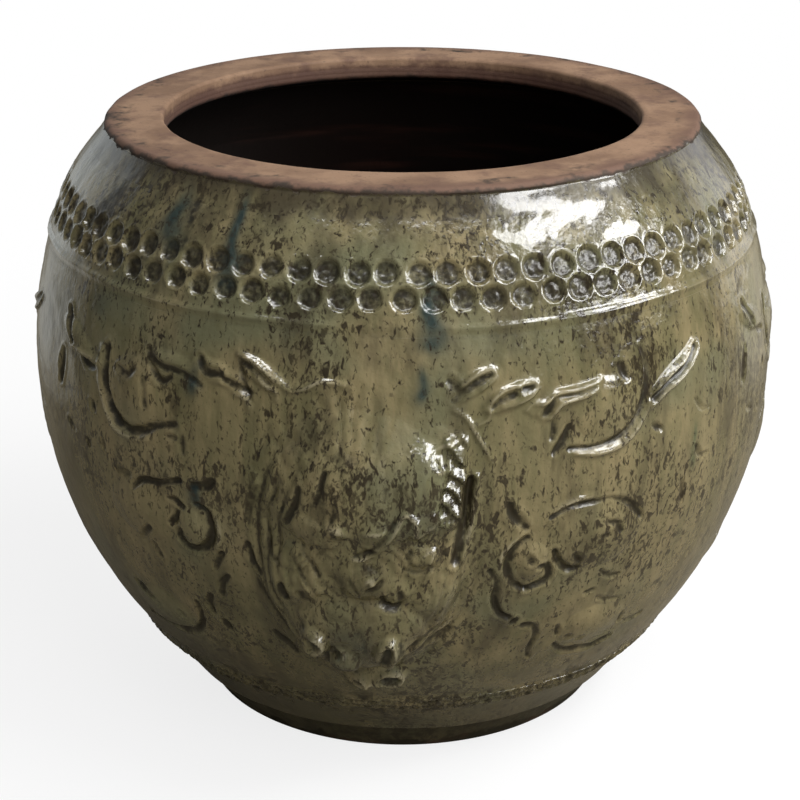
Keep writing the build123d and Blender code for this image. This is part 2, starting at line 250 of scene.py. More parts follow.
# Grooves drawn with a tool: half width, depth, and the places that the tool went through
GROOVES = [
    # mane and ears
    ("left ear hollow", 2.6, 1.6, [(-58, 259), (-52, 256), (-44, 249)]),
    ("left ear foot", 2.2, 1.4, [(-60, 260), (-58, 250), (-54, 240)]),
    ("left first lock hollow", 3.0, 2.0, [(-83, 256), (-78, 251), (-70, 251)]),
    ("left first lock foot", 2.4, 1.6, [(-68, 249), (-60, 246), (-54, 244)]),
    ("left second lock hollow", 2.2, 1.5, [(-115, 255), (-107, 249), (-95, 248), (-88, 246), (-82, 243)]),
    ("left second lock side", 2.2, 1.4, [(-116, 254), (-112, 247), (-106, 241), (-100, 244)]),
    ("right ear hollow", 2.8, 2.0, [(48, 247), (54, 251), (64, 257)]),
    ("right ear foot", 3.0, 1.8, [(44, 254), (49, 248), (46, 245)]),
    ("right first lock hollow", 2.6, 2.0, [(64, 241), (70, 244), (76, 246)]),
    ("right first lock tip", 2.6, 1.8, [(81, 248), (86, 249)]),
    ("right second lock hollow", 2.8, 2.0, [(91, 234), (96, 241)]),
    ("right second lock middle", 1.8, 1.4, [(98, 242), (108, 242), (118, 244)]),
    ("right hair stroke", 2.2, 1.5, [(104, 226), (101, 220), (96, 213)]),
    ("mane stroke", 2.0, 1.2, [(96, 232), (96, 226), (95, 221)]),
    # face
    ("edge slot", 4.3, 3.2, [(54, 203), (53, 192), (50, 178), (47, 163)]),
    ("left temple stroke", 2.4, 1.8, [(-27, 201), (-29, 192), (-34, 182)]),
    ("brow stroke", 1.8, 1.7, [(-14, 211), (-16, 203), (-18, 196)]),
    ("brow stroke by the nose", 1.8, 1.3, [(-9, 197), (-10, 191), (-11, 187)]),
    ("nose root", 1.6, 0.9, [(-3, 180), (-1, 174)]),
    ("brow v", 2.0, 1.8, [(0, 170), (8, 174), (13, 181), (18, 189)]),
    ("brow step", 1.8, 1.4, [(26, 190), (29, 180), (33, 187), (40, 188)]),
    ("left eye fold", 1.7, 1.3, [(-25, 172), (-22, 165), (-18, 157)]),
    ("left eye second fold", 1.6, 1.1, [(-31, 168), (-28, 160), (-24, 152)]),
    ("left eye corner", 1.8, 1.2, [(-45, 170), (-43, 163), (-38, 159)]),
    ("right eye pit", 2.2, 1.8, [(25, 172), (24, 169)]),
    ("right eye second pit", 2.2, 1.7, [(33, 164), (35, 162)]),
    ("right eye fold", 1.4, 1.0, [(22, 163), (29, 160), (38, 161)]),
    ("nose groove", 1.8, 1.3, [(5, 153), (9, 155), (12, 158)]),
    ("nose second groove", 1.5, 1.0, [(-3, 158), (-1, 154), (1, 150)]),
    ("nose side", 1.4, 1.0, [(6, 166), (10, 163), (9, 160)]),
    ("left nostril pit", 3.4, 2.2, [(-27, 145), (-24, 142)]),
    ("left nostril side", 2.8, 1.8, [(-38, 147), (-36, 141)]),
    ("right nostril pit", 2.2, 1.5, [(12, 148), (13, 143), (18, 141), (21, 145), (20, 150)]),
    ("left cheek line", 2.4, 1.8, [(-58, 162), (-56, 152), (-52, 146)]),
    ("left jaw line", 2.4, 1.8, [(-49, 141), (-46, 133), (-41, 127)]),
    ("left jaw foot", 2.6, 1.8, [(-52, 104), (-46, 97), (-42, 91)]),
    ("left side line", 2.0, 1.2, [(-50, 196), (-54, 185), (-56, 174)]),
    ("mouth corner", 2.0, 1.2, [(18, 109), (27, 115), (38, 123)]),
    ("mouth left", 2.0, 1.3, [(-34, 112), (-32, 104), (-26, 98)]),
    ("left tooth pit", 3.4, 2.6, [(-25, 113), (-22, 110)]),
    ("left tooth hollow", 2.0, 1.5, [(-24, 123), (-19, 121)]),
    ("middle tooth hollow", 2.4, 2.2, [(-17, 112), (-17, 104), (-13, 99), (-6, 98)]),
    ("middle tooth top", 2.0, 1.5, [(-13, 117), (-10, 114)]),
    ("right tooth hollow", 3.4, 2.8, [(12, 110), (14, 116), (15, 120)]),
    ("right tooth side", 1.6, 1.3, [(20, 122), (21, 115), (19, 109)]),
    ("gap by the teeth", 1.6, 1.0, [(3, 124), (3, 116), (5, 108)]),
    # Its wide dark stain stands for painted shade under the muzzle's overhang
    ("ledge under the muzzle", 4.2, 1.5, [(-38, 106), (-26, 98), (-8, 92), (12, 95), (30, 106), (46, 113)]),
    ("left chin hollow", 3.0, 2.4, [(-8, 76), (-4, 76)]),
    ("right chin hollow", 3.0, 2.4, [(9, 78), (17, 79)]),
    ("chin shade", 2.4, 1.4, [(-14, 72), (-10, 66)]),
    # right of the mask
    ("right hook", 2.0, 1.5, [
        (149, 258), (151, 247), (148, 233), (142, 223), (131, 215), (118, 213), (104, 214)
    ]),
    ("right hook eye", 3.0, 1.6, [(134, 252), (137, 246)]),
    ("right tail hollow", 2.6, 2.0, [(186, 250), (176, 242), (165, 237), (155, 230)]),
    ("right leaf foot", 2.2, 1.5, [(155, 216), (160, 213)]),
    ("right drop", 2.9, 1.8, [(74, 188), (76, 182), (83, 174)]),
    ("right c scroll", 2.7, 2.3, [(84, 168), (77, 161), (75, 150), (79, 141), (86, 136)]),
    ("right c scroll hook", 2.5, 2.2, [(92, 150), (97, 148), (98, 141), (93, 138), (87, 137)]),
    ("right c scroll eye", 2.6, 1.8, [(85, 157), (87, 154)]),
    ("right curl line", 2.2, 2.0, [(100, 157), (103, 150), (109, 144), (115, 144)]),
    ("right curl eye", 2.2, 1.8, [(112, 153), (115, 148)]),
    ("right cloud line", 2.0, 1.5, [(96, 178), (106, 182), (118, 182), (131, 182)]),
    ("right cloud side", 2.2, 1.6, [(132, 181), (141, 177), (147, 171), (151, 166)]),
    ("right cloud marks", 2.2, 1.4, [(128, 169), (134, 167), (137, 162)]),
    ("right cloud mark", 2.2, 1.3, [(125, 161), (129, 162)]),
    ("right whisker", 2.3, 2.0, [(66, 150), (70, 142), (70, 130), (74, 121), (80, 117)]),
    ("right whisker end", 2.4, 2.0, [(89, 110), (96, 108), (99, 100), (97, 91), (99, 84)]),
    ("right whisker dot", 2.4, 1.6, [(82, 113), (84, 115)]),
    ("right cheek line", 1.7, 1.3, [(131, 137), (138, 132), (145, 131)]),
    ("right cheek mark", 1.7, 1.3, [(124, 124), (130, 125)]),
    ("right cheek foot", 1.6, 1.1, [(133, 119), (141, 115), (151, 113)]),
    ("right lower arc", 2.6, 2.2, [(115, 89), (122, 83), (135, 80), (147, 78), (160, 81)]),
    ("right lower side", 2.0, 1.5, [(112, 104), (114, 97)]),
    ("right lower end", 2.2, 1.4, [(160, 99), (162, 92)]),
    ("right lower tail", 1.7, 1.3, [(168, 90), (175, 89), (183, 90)]),
    ("right lower eye", 2.6, 1.5, [(121, 95), (123, 94)]),
    ("right lower dot", 2.6, 1.4, [(130, 91), (132, 92)]),
    ("right edge stroke", 1.9, 1.4, [(179, 179), (181, 172), (182, 165)]),
    ("right edge hook", 1.8, 1.2, [(188, 196), (192, 189), (199, 188)]),
    ("right edge curl", 1.7, 1.0, [(186, 222), (192, 215), (198, 214)]),
    # left of the mask
    ("left hook", 3.1, 2.2, [
        (-146, 249), (-147, 235), (-142, 222), (-136, 213), (-127, 210), (-117, 212), (-108, 217), (-97, 220)
    ]),
    ("left hook eye", 2.6, 1.5, [(-136, 241), (-128, 239), (-124, 243)]),
    ("left hook stroke", 2.4, 1.6, [(-117, 239), (-116, 233), (-115, 226)]),
    ("left hook end", 2.0, 1.4, [(-101, 213), (-96, 213)]),
    ("left hook mark", 2.0, 1.4, [(-92, 214), (-92, 206)]),
    ("left tail stroke", 2.4, 1.7, [(-188, 258), (-183, 250), (-178, 243)]),
    ("left tail foot", 2.2, 1.6, [(-168, 238), (-163, 235), (-157, 235)]),
    ("left tail side", 3.0, 1.8, [(-191, 234), (-193, 225), (-194, 217)]),
    ("left dot by the tail", 2.4, 1.4, [(-158, 216), (-156, 212)]),
    ("left far dots", 2.0, 1.2, [(-185, 197), (-178, 194)]),
    ("left middle dot", 2.2, 1.3, [(-165, 193), (-163, 190)]),
    ("left near dot", 2.4, 1.3, [(-150, 197), (-149, 193)]),
    ("left brow arc", 2.4, 1.8, [(-127, 178), (-120, 184), (-108, 186), (-95, 190)]),
    ("left brow cloud", 3.0, 1.5, [(-139, 184), (-131, 184)]),
    ("left drop", 3.2, 1.8, [(-87, 189), (-80, 190), (-75, 194)]),
    ("left j scroll", 2.7, 2.3, [
        (-86, 179), (-80, 176), (-78, 167), (-80, 158), (-87, 152), (-95, 152), (-99, 157), (-97, 161)
    ]),
    ("left curl top", 2.0, 1.6, [(-103, 178), (-99, 178), (-94, 175)]),
    ("left curl side", 2.2, 1.6, [(-98, 171), (-100, 167), (-103, 164)]),
    ("left lozenge", 2.6, 1.7, [(-119, 157), (-124, 152), (-129, 147)]),
    ("left lozenge foot", 2.2, 1.5, [(-121, 145), (-117, 138)]),
    ("left whisker", 2.4, 1.8, [(-74, 152), (-77, 147), (-80, 141)]),
    ("left whisker fork", 2.6, 2.0, [(-73, 138), (-78, 132), (-80, 124)]),
    ("left whisker end", 2.4, 1.7, [(-88, 121), (-91, 115), (-91, 108)]),
    ("left whisker dot", 3.0, 1.7, [(-85, 103), (-83, 99)]),
    ("left lower arc", 2.6, 2.0, [(-158, 84), (-142, 84), (-125, 84), (-112, 88), (-103, 98), (-101, 112)]),
    ("left lower mark", 2.4, 1.4, [(-153, 108), (-146, 106), (-139, 103)]),
    ("left lower dot", 2.4, 1.3, [(-119, 100), (-117, 98)]),
]

# Raised edges, where clay was pushed up: half width, how proud, and the places
RAISED_EDGES = [
    ("left ear edge", 1.3, 1.7, [(-61, 262), (-52, 259), (-43, 254), (-35, 248)]),
    ("left ear inner edge", 1.2, 1.5, [(-52, 255), (-46, 249), (-40, 246), (-40, 242)]),
    ("mane top edge", 1.2, 1.6, [(-33, 247), (-26, 249), (-18, 253), (-6, 252)]),
    ("left lock edge", 1.2, 1.2, [(-62, 242), (-56, 241), (-54, 236)]),
    ("right ear edge", 1.3, 1.5, [(50, 252), (58, 257), (66, 258), (66, 254), (60, 250)]),
    ("mane side edge", 1.1, 1.4, [(46, 240), (52, 236), (56, 229), (61, 220), (65, 212)]),
    ("first lock edge", 1.2, 1.6, [
        (57, 232), (63, 235), (64, 242), (72, 249), (87, 250), (84, 244), (76, 241), (70, 240)
    ]),
    ("second lock edge", 1.2, 1.6, [(82, 237), (85, 240), (92, 240), (98, 244), (110, 244), (122, 247)]),
    ("second lock lower edge", 1.2, 1.4, [(90, 233), (95, 232), (99, 238), (110, 240), (120, 242)]),
    ("edge slot lip", 1.4, 2.2, [(57, 206), (56, 192), (54, 178), (51, 163)]),
    ("brow v lip", 1.3, 2.3, [(9, 174), (16, 181), (22, 193), (27, 190), (28, 181), (33, 186), (42, 190)]),
    ("left tooth lip", 1.3, 2.4, [(-27, 126), (-20, 125), (-17, 121), (-20, 117), (-27, 117)]),
    ("right tooth lip", 1.3, 2.4, [(11, 122), (16, 124), (18, 119), (17, 112)]),
    ("right tooth inner lip", 1.1, 1.9, [(11, 108), (15, 107), (20, 110)]),
    ("middle tooth lip", 1.2, 2.1, [(-11, 117), (-8, 116), (-7, 113)]),
    ("nose squiggle", 1.1, 1.9, [(4, 157), (6, 160), (8, 157), (9, 161)]),
    ("nose second squiggle", 1.0, 1.2, [(-2, 169), (3, 169), (7, 171)]),
    ("left brow knob", 2.6, 1.6, [(-12, 185), (-8, 184), (-5, 182)]),
    ("brow bar", 1.2, 1.3, [(4, 184), (8, 184), (13, 185)]),
    ("right eye lip", 1.1, 1.5, [(30, 169), (33, 172), (36, 171), (34, 166)]),
    ("temple edge", 1.4, 1.4, [(37, 222), (43, 224), (49, 226)]),
    ("temple second edge", 1.2, 1.2, [(36, 213), (42, 211)]),
    ("left chin ring", 1.4, 2.5, [(-10, 76), (-6, 79), (-1, 77), (-2, 74), (-7, 73), (-10, 76)]),
    ("right chin ring", 1.4, 2.5, [(6, 78), (10, 82), (19, 82), (22, 79), (18, 75), (9, 75), (6, 78)]),
    ("chin link", 1.4, 2.0, [(-1, 76), (6, 76)]),
    ("right hook lip", 1.4, 1.9, [(108, 211), (120, 209), (134, 211), (145, 219), (152, 229)]),
    ("right tail lip", 1.3, 1.7, [(153, 226), (164, 233), (176, 238), (187, 246), (189, 251)]),
    ("right tail upper lip", 1.2, 1.4, [(157, 235), (166, 241), (177, 246), (186, 253)]),
    ("left hook lip", 1.3, 1.2, [
        (-151, 248), (-152, 235), (-148, 222), (-139, 209), (-126, 206), (-113, 208)
    ]),
    ("left tail edge", 1.3, 1.4, [(-182, 241), (-172, 241), (-163, 240), (-152, 239)]),
    ("right cloud lip", 1.2, 1.3, [(96, 181), (107, 185), (118, 186)]),
    ("right c scroll lip", 1.2, 1.0, [(80, 170), (72, 161), (70, 149)]),
    ("left j scroll lip", 1.2, 1.0, [(-74, 176), (-73, 165), (-76, 155)]),
]

# Coloured runs in the glaze: degrees round from the front mask, top, foot, half width, kind
RUNS = [
    (-21.0, 331, 292, 6.4, "thin blue"),
    (-33.0, 330, 306, 9.0, "soft blue"),
    (10.0, 303, 268, 6.4, "thin blue"),
    (8.5, 262, 244, 4.0, "thin blue"),
    (-24.0, 252, 238, 5.0, "thin blue"),
    (-24.0, 192, 178, 6.0, "thin blue"),
    (52.0, 209, 185, 2.2, "green"),
    (-1.0, 134, 90, 22.0, "broad blue"),
    (-62.0, 262, 228, 9.0, "soft blue"),
    (-45.0, 286, 262, 10.0, "broad blue"),
    (131.0, 326, 290, 5.0, "thin blue"),
    (174.0, 300, 262, 6.0, "thin blue"),
    (213.0, 322, 296, 5.2, "thin blue"),
    (-50.0, 339, 300, 18.0, "brown"),
    (-31.0, 339, 304, 15.0, "brown"),
    (30.0, 339, 328, 18.0, "brown"),
    (150.0, 339, 306, 20.0, "brown"),
    (230.0, 339, 312, 17.0, "brown"),
    (252.0, 220, 196, 2.4, "green"),
]

# How far each kind of run stands up, how much copper it has, and how dark it is
RUN_KINDS = {
    "thin blue": (0.20, 1.35, 0.75), "soft blue": (0.0, 1.35, 0.2), "broad blue": (0.0, 0.6, 0.2),
    "green": (0.20, 0.0, 0.0), "brown": (0.0, 0.0, 0.95),
}


def smooth_line(places, spacing=1.5):
    """Points on a smooth curve through the places, about a spacing apart."""
    knots = np.array([places[0], *places, places[-1]], float)
    found = []
    for a, b, c, d in zip(knots, knots[1:], knots[2:], knots[3:]):
        count = max(2, int(np.hypot(*(c - b)) / spacing) + 1)
        t = np.linspace(0, 1, count, endpoint=False)[:, None]
        bend = (2 * a - 5 * b + 4 * c - d) * t**2 + (3 * b - a - 3 * c + d) * t**3
        found.append(0.5 * (2 * b + (c - a) * t + bend))
    return np.vstack([*found, knots[-1:]])


def distance_to(line, across, height):
    """Distance from each place to the line, and the share of the line's length at the nearest point."""
    best = np.full(across.shape, 1e9)
    along = np.zeros(across.shape)
    count = len(line) - 1
    for number, (start, end) in enumerate(zip(line, line[1:])):
        run = end - start
        length = max(run @ run, 1e-9)
        t = np.clip(((across - start[0]) * run[0] + (height - start[1]) * run[1]) / length, 0, 1)
        d = np.hypot(across - start[0] - run[0] * t, height - start[1] - run[1] * t)
        closer = d < best
        best = np.where(closer, d, best)
        along = np.where(closer, (number + t) / count, along)
    return best, along


def dome_spread(dome, across, up):
    """Squared distance from a dome's middle, 1 at its edge, and the direction in degrees."""
    a, b = across - dome.across, up - dome.up
    c, s = math.cos(math.radians(dome.degrees)), math.sin(math.radians(dome.degrees))
    spread = ((a * c + b * s) / dome.half_width) ** 2 + ((b * c - a * s) / dome.half_length) ** 2
    return spread, np.degrees(np.arctan2(b / dome.half_length, a / dome.half_width)) % 360


class Relief:
    """The worked surface at a set of places: how proud it is, how hollow and how sharp."""

    def __init__(self, turn, height):
        self.turn, self.height = turn, height
        self.proud = np.zeros(turn.shape)
        self.hollow, self.ridge, self.copper, self.green = (np.zeros(turn.shape) for _ in MARKS)
        sector = 2 * math.pi / MASK_COUNT
        number = np.floor(turn / sector + 0.5)
        self.front = number % MASK_COUNT == 0
        wander = MASK_WANDER * ~self.front
        self.across = (turn - number * sector) * DRAWN_RADIUS + wander * self.lumps(36, 34.0, 5)
        self.up = height + wander * self.lumps(33, 31.0, 6)

    def lumps(self, around, tall, seed, at=...):
        return lumps(self.turn[at], self.height[at], around, tall, seed)

    def near(self, places, reach):
        """Which places lie in the box round some drawn ones."""
        low, high = places.min(0) - reach, places.max(0) + reach
        inside = (self.across > low[0]) & (self.across < high[0]) & (self.up > low[1]) & (self.up < high[1])
        return np.nonzero(inside)

    def front_share(self, at, hidden_share):
        """1 on the front mask, and a lesser share on the hidden ones."""
        return np.where(self.front[at], 1.0, hidden_share)

    def darken(self, amount, at=...):
        self.hollow[at] = np.maximum(self.hollow[at], amount)

    # A sharp place turns pale in the glaze: partly thin glaze, partly painted highlight
    def sharpen(self, amount, at=...):
        self.ridge[at] = np.maximum(self.ridge[at], amount)

    def fold(self, where, wave, rise, stain, stained_from, stained_to, broken=1.0):
        """Folds over part of a mask, with dark glaze in their hollows."""
        self.proud += rise * where * wave
        self.darken(stain * where * ease(stained_from, stained_to, -wave) * broken)

    def throw(self):
        """Unevenness of a wall built by hand."""
        self.proud -= THROWN_IN
        for size, around, tall, seed in THROWN_LUMPS:
            self.proud += size * self.lumps(around, tall, seed)

    def raise_domes(self):
        for dome in DOMES:
            middle = np.array([(dome.across, dome.up)], float)
            at = self.near(middle, max(dome.half_width, dome.half_length))
            spread, lean = dome_spread(dome, self.across[at], self.up[at])
            brow = within(lean, 42, 78, 165, 205) if dome.name == "face" else 0 * spread
            shown = 1.0 if abs(dome.across) < BESIDE_THE_FACE else self.front_share(at, HIDDEN_DOME_SHARE)
            form = np.clip(1 - spread, 0, 1) ** (dome.soft * (1 + 1.1 * brow))
            self.proud[at] += dome.proud * shown * form * ease(0, 0.25 + 0.65 * brow, 1 - spread)

    def wrinkle(self):
        """Folds round the left and lower edge of each mask, pits in its face, hair combed over its brow."""
        a, b = self.across / FACE_HALF_WIDTH, (self.up - FACE_HEIGHT) / FACE_HALF_LENGTH
        out, lean = np.hypot(a, b), np.degrees(np.arctan2(b, a)) % 360
        uneven = self.lumps(150, 14.0, 41)
        where = within(lean, 128, 160, 250, 285) * within(out, 0.52, 0.72, 1.0, 1.16)
        wave = ripple(8.5 * out + 0.35 * uneven + lean / 210)
        self.fold(where, wave, 1.25 * (0.6 + 0.4 * uneven), 0.85, 0.20, 0.85, ease(-0.8, 0.1, uneven))
        where = within(lean, 285, 315, 350, 365) * within(out, 0.66, 0.80, 1.02, 1.15)
        self.fold(where, ripple(7.5 * out + 0.4 * uneven), 0.6, 0.5, 0.35, 0.9)
        pits = self.lumps(190, 7.5, 45)
        where = 1 - ease(0.82, 1.05, out)
        self.proud -= 0.55 * where * ease(0.35, 0.8, pits)
        self.darken(0.5 * where * ease(0.5, 0.9, pits))
        from_nose = np.hypot(self.across - 4, 1.15 * (self.up - 158))
        where = within(from_nose, 13, 20, 36, 46) * within(self.up, 138, 146, 172, 182)
        wave = ripple(from_nose / 6.5 + 0.85 * uneven + 0.5 * self.lumps(260, 8.0, 43))
        self.fold(where, wave, 0.55, 0.5, 0.45, 0.95, ease(-0.3, 0.3, uneven))
        where = within(lean, 62, 80, 128, 150) * within(out, 0.55, 0.75, 0.98, 1.1)
        wave = ripple(lean / 9.0 + 1.6 * out + 0.5 * uneven)
        self.fold(where, wave, 0.35, 0.38, 0.45, 0.95, ease(-0.4, 0.4, pits))

    def fold_temple(self):
        """Short folds stepped down the right temple, where the window shows."""
        fold_height, face_share = 9.0, 0.18
        aside = self.across - 46 - 0.12 * (self.up - 205)
        uneven = self.lumps(210, 9.0, 47)
        where = (1 - ease(4.0, 7.5, np.abs(aside) + 1.5 * uneven)) * within(self.up, 180, 187, 220, 231)
        step = ((self.up + 0.8 * aside + 2.2 * uneven) / fold_height) % 1
        step = np.where(step < face_share, step / face_share, (1 - step) / (1 - face_share))
        level = np.interp(self.up, [182, 200, 215, 230], [9.2, 5.6, 3.4, 2.4])
        facet = level + 3.7 * (step - 0.5) - 0.16 * aside + 0.10 * self.lumps(340, 3.2, 4)
        self.proud = self.proud * (1 - where) + facet * where

    def lay_strip(self):
        """Thin strip low on the wall, with soft edges, for the small stamps, and glaze gathered round it."""
        low, high = STRIP_LOW_HEIGHT, STRIP_HIGH_HEIGHT
        edges = (low - STRIP_EDGE, low + STRIP_EDGE, high - STRIP_EDGE, high + STRIP_EDGE)
        self.proud += STRIP_RISE * within(self.height, *edges)
        gathered = within(self.height, low - 12, low - 3, high + 2, high + 12)
        self.darken(0.7 * gathered * ease(0.15, 0.65, self.lumps(210, 4.5, 46)))

    def draw_grooves(self):
        for _, half_width, full_depth, places in GROOVES:
            line = smooth_line(places)
            at = self.near(line, half_width * 2.4)
            d, along = distance_to(line, self.across[at], self.up[at])
            shake, slow = self.lumps(300, 4.5, 42, at), self.lumps(110, 13.0, 44, at)
            swell = np.sin(math.pi * np.clip(along, 0.05, 0.95))
            out = d / (half_width * (0.80 + 0.28 * swell + 0.22 * shake + 0.10 * slow))
            shown = self.front_share(at, HIDDEN_GROOVE_SHARE)
            depth = full_depth * np.clip(0.88 + 0.38 * slow, 0.35, 1.1) * shown
            lip = bell((out - 1.40) / 0.34)
            self.proud[at] += 0.26 * depth * lip - 0.85 * depth * (1 - ease(0.15, 1.05, out))
            stain = 1 - ease(0.25, 1.45, out + 0.32 * shake)
            self.darken(stain * np.minimum(1, depth / 1.7), at)
            self.sharpen(0.5 * lip * (1 - stain), at)

    def push_edges(self):
        for _, half_width, proud, places in RAISED_EDGES:
            line = smooth_line(places)
            at = self.near(line, half_width * 3)
            d, along = distance_to(line, self.across[at], self.up[at])
            swell = np.sin(math.pi * np.clip(along, 0.1, 0.9))
            edge = bell(d / (1.12 * half_width)) * (0.4 + 0.6 * swell)
            self.proud[at] += 1.25 * proud * edge * self.front_share(at, HIDDEN_EDGE_SHARE)
            self.sharpen(edge, at)
            self.hollow[at] *= 1 - 0.8 * edge

    def lay_cordon(self):
        """Fine cordon under the dimples, rubbed flat in places."""
        level = 0 * self.height
        wave = 0.8 * lumps(self.turn, level, 22, 90.0, 7)
        offset = (self.height - CORDON_HEIGHT - wave) / CORDON_HALF_WIDTH
        body = bell(offset / 0.48) * ease(1.0, 0.8, np.abs(offset))
        worn = 0.80 + 0.20 * lumps(self.turn, level, 60, 90.0, 8)
        worn *= 0.25 + 0.75 * ease(6.5, 10.5, np.abs(self.degrees_from(5)))
        self.proud += CORDON_RISE * body * worn
        self.sharpen(0.8 * ease(0.5, 1, body * worn))
        self.darken(0.35 * bell((offset + 1.3) / 0.5))

    def degrees_from(self, degrees):
        """Degrees round the jar from a place, -180 to 180."""
        return (np.degrees(self.turn) - degrees + 180) % 360 - 180

    def pour_runs(self):
        for degrees, top, foot, half_width, kind in RUNS:
            side = np.radians(self.degrees_from(degrees)) * DRAWN_RADIUS
            side += 1.4 * lumps(0 * self.turn, self.height, 1, 9.0, 11)
            width = half_width * (0.55 + 0.45 * ease(top, foot, self.height))
            body = bell(side / width) * within(self.height, foot - 6, foot + 6, top - 10, top + 6)
            raised, copper, hollow = RUN_KINDS[kind]
            self.proud += raised * body
            body *= 0.75 + 0.35 * self.lumps(240, 6.0, 12)
            if kind == "brown":
                self.darken(hollow * body * np.clip(0.95 + 0.6 * self.lumps(330, 30.0, 13), 0, 1.15))
            elif kind == "green":
                self.green = np.maximum(self.green, body)
            else:
                self.copper = np.maximum(self.copper, np.minimum(1, copper * body))
                self.darken(hollow * body**2)


def worked(turn, height):
    """The whole relief at a grid of places."""
    relief = Relief(turn, height)
    relief.throw()
    relief.raise_domes()
    relief.wrinkle()
    relief.fold_temple()
    relief.lay_strip()
    relief.draw_grooves()
    relief.push_edges()
    relief.lay_cordon()
    relief.pour_runs()
    relief.proud *= 0.35 + 0.65 * ease(FOOT_HEIGHT - 4, FOOT_HEIGHT + 10, height)
    return relief


def placed(turn, radius, height):
    """Points in metres from turn, radius and height in mm."""
    return np.stack([radius * np.sin(turn), -radius * np.cos(turn), height + 0 * turn], -1) * MM


def on_wall(turn, height, proud):
    """Points in metres that stand proud of the outer wall."""
    radius, outward, upward = outline(height)
    return placed(turn, radius + proud * outward, height + proud * upward)


# Meshes
def turns_of(columns):
    return np.arange(columns) * 2 * math.pi / columns


turns = turns_of(COLUMNS)


def ring_faces(rows, columns, closed=False):
    """Quads between rows of points round the jar, pointing outwards where the rows go up."""
    row = np.arange(rows if closed else rows - 1)[:, None]
    column = np.arange(columns)[None, :]
    upper, after = (row + 1) % rows, (column + 1) % columns
    corners = [(row, column), (row, after), (upper, after), (upper, column)]
    return np.stack([i * columns + j for i, j in corners], -1).reshape(-1, 4)


def settled(body, nodes):
    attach(body, "root")
    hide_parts(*nodes)
    return body


def piece(name, points, faces, finish, marks=None, slots=None):
    """One piece of the jar from points in metres and faces, riding on the jar."""
    mesh = bpy.data.meshes.new(name)
    mesh.from_pydata(points.tolist(), [], faces if isinstance(faces, list) else faces.tolist())
    for label, values in (marks or {}).items():
        mesh.attributes.new(label, "FLOAT", "POINT").data.foreach_set("value", values.astype(np.float32))
    for material in finish:
        mesh.materials.append(material)
    if slots is not None:
        mesh.polygons.foreach_set("material_index", slots.astype(np.int32))
    mesh.update()
    mesh.validate(clean_customdata=False)
    mesh.polygons.foreach_set("use_smooth", np.ones(len(mesh.polygons), bool))
    mesh.update()
    body = bpy.data.objects.new(name + "_fired", mesh)
    bpy.context.scene.collection.objects.link(body)
    return settled(body, [name])


def crisp_rings(body, columns, rows):
    """Keeps the edges along the given rows of points crisp."""
    mesh = body.data
    ends = np.zeros(len(mesh.edges) * 2, np.int32)
    mesh.edges.foreach_get("vertices", ends)
    row = ends.reshape(-1, 2) // columns
    crisp = (row[:, 0] == row[:, 1]) & np.isin(row[:, 0], rows)
    mesh.attributes.new("sharp_edge", "BOOLEAN", "EDGE").data.foreach_set("value", crisp)


def ring_piece(name, points, finish, crisp=(), marks=None, inner=()):
    """A ring from rows of points, crisp along some rows, with the second finish on the inner ones."""
    rows, columns = points.shape[:2]
    slots = np.isin(np.arange(rows), inner).repeat(columns)
    faces = ring_faces(rows, columns, closed=True)
    body = piece(name, points.reshape(-1, 3), faces, finish, marks, slots)
    if len(crisp):
        crisp_rings(body, columns, crisp)
    return body


def marks_of(relief, shape, first=0, shown=slice(None)):
    """Marks for a piece that shows some rows of a relief from its first row on, and is blank elsewhere."""
    marks = {}
    for label in MARKS:
        given = getattr(relief, label)[shown]
        values = np.zeros(shape)
        values[first:first + len(given)] = given
        marks[label] = values.ravel()
    return marks


def normals_of(points):
    """Directions square to a grid of points that closes round the jar."""
    across = np.roll(points, -1, 1) - np.roll(points, 1, 1)
    up = np.gradient(points, axis=0)
    square = np.cross(across, up)
    return square / np.linalg.norm(square, axis=-1, keepdims=True)


def share_directions(body, normals, chosen):
    """Gives the chosen face corners the directions of the whole wall, so that pieces meet without a seam."""
    mesh = body.data
    corners = np.zeros(len(mesh.loops) * 3, np.float32)
    mesh.loops.foreach_get("normal", corners)
    corners = corners.reshape(-1, 3)
    point = np.zeros(len(mesh.loops), np.int32)
    mesh.loops.foreach_get("vertex_index", point)
    corners[chosen] = normals[point[chosen]]
    mesh.normals_split_custom_set(corners.tolist())


def heights_between(*stops, step):
    """Heights through the stops, each stretch divided evenly along the wall."""
    found = [stops[0]]
    for low, high in zip(stops, stops[1:]):
        radii = outline(np.array([low, high]))[0]
        count = max(1, round(math.hypot(high - low, radii[1] - radii[0]) / step))
        found += [low + (high - low) * k / count for k in range(1, count + 1)]
    return np.array(found)


# Node trees
FLOAT = "NodeSocketFloat"


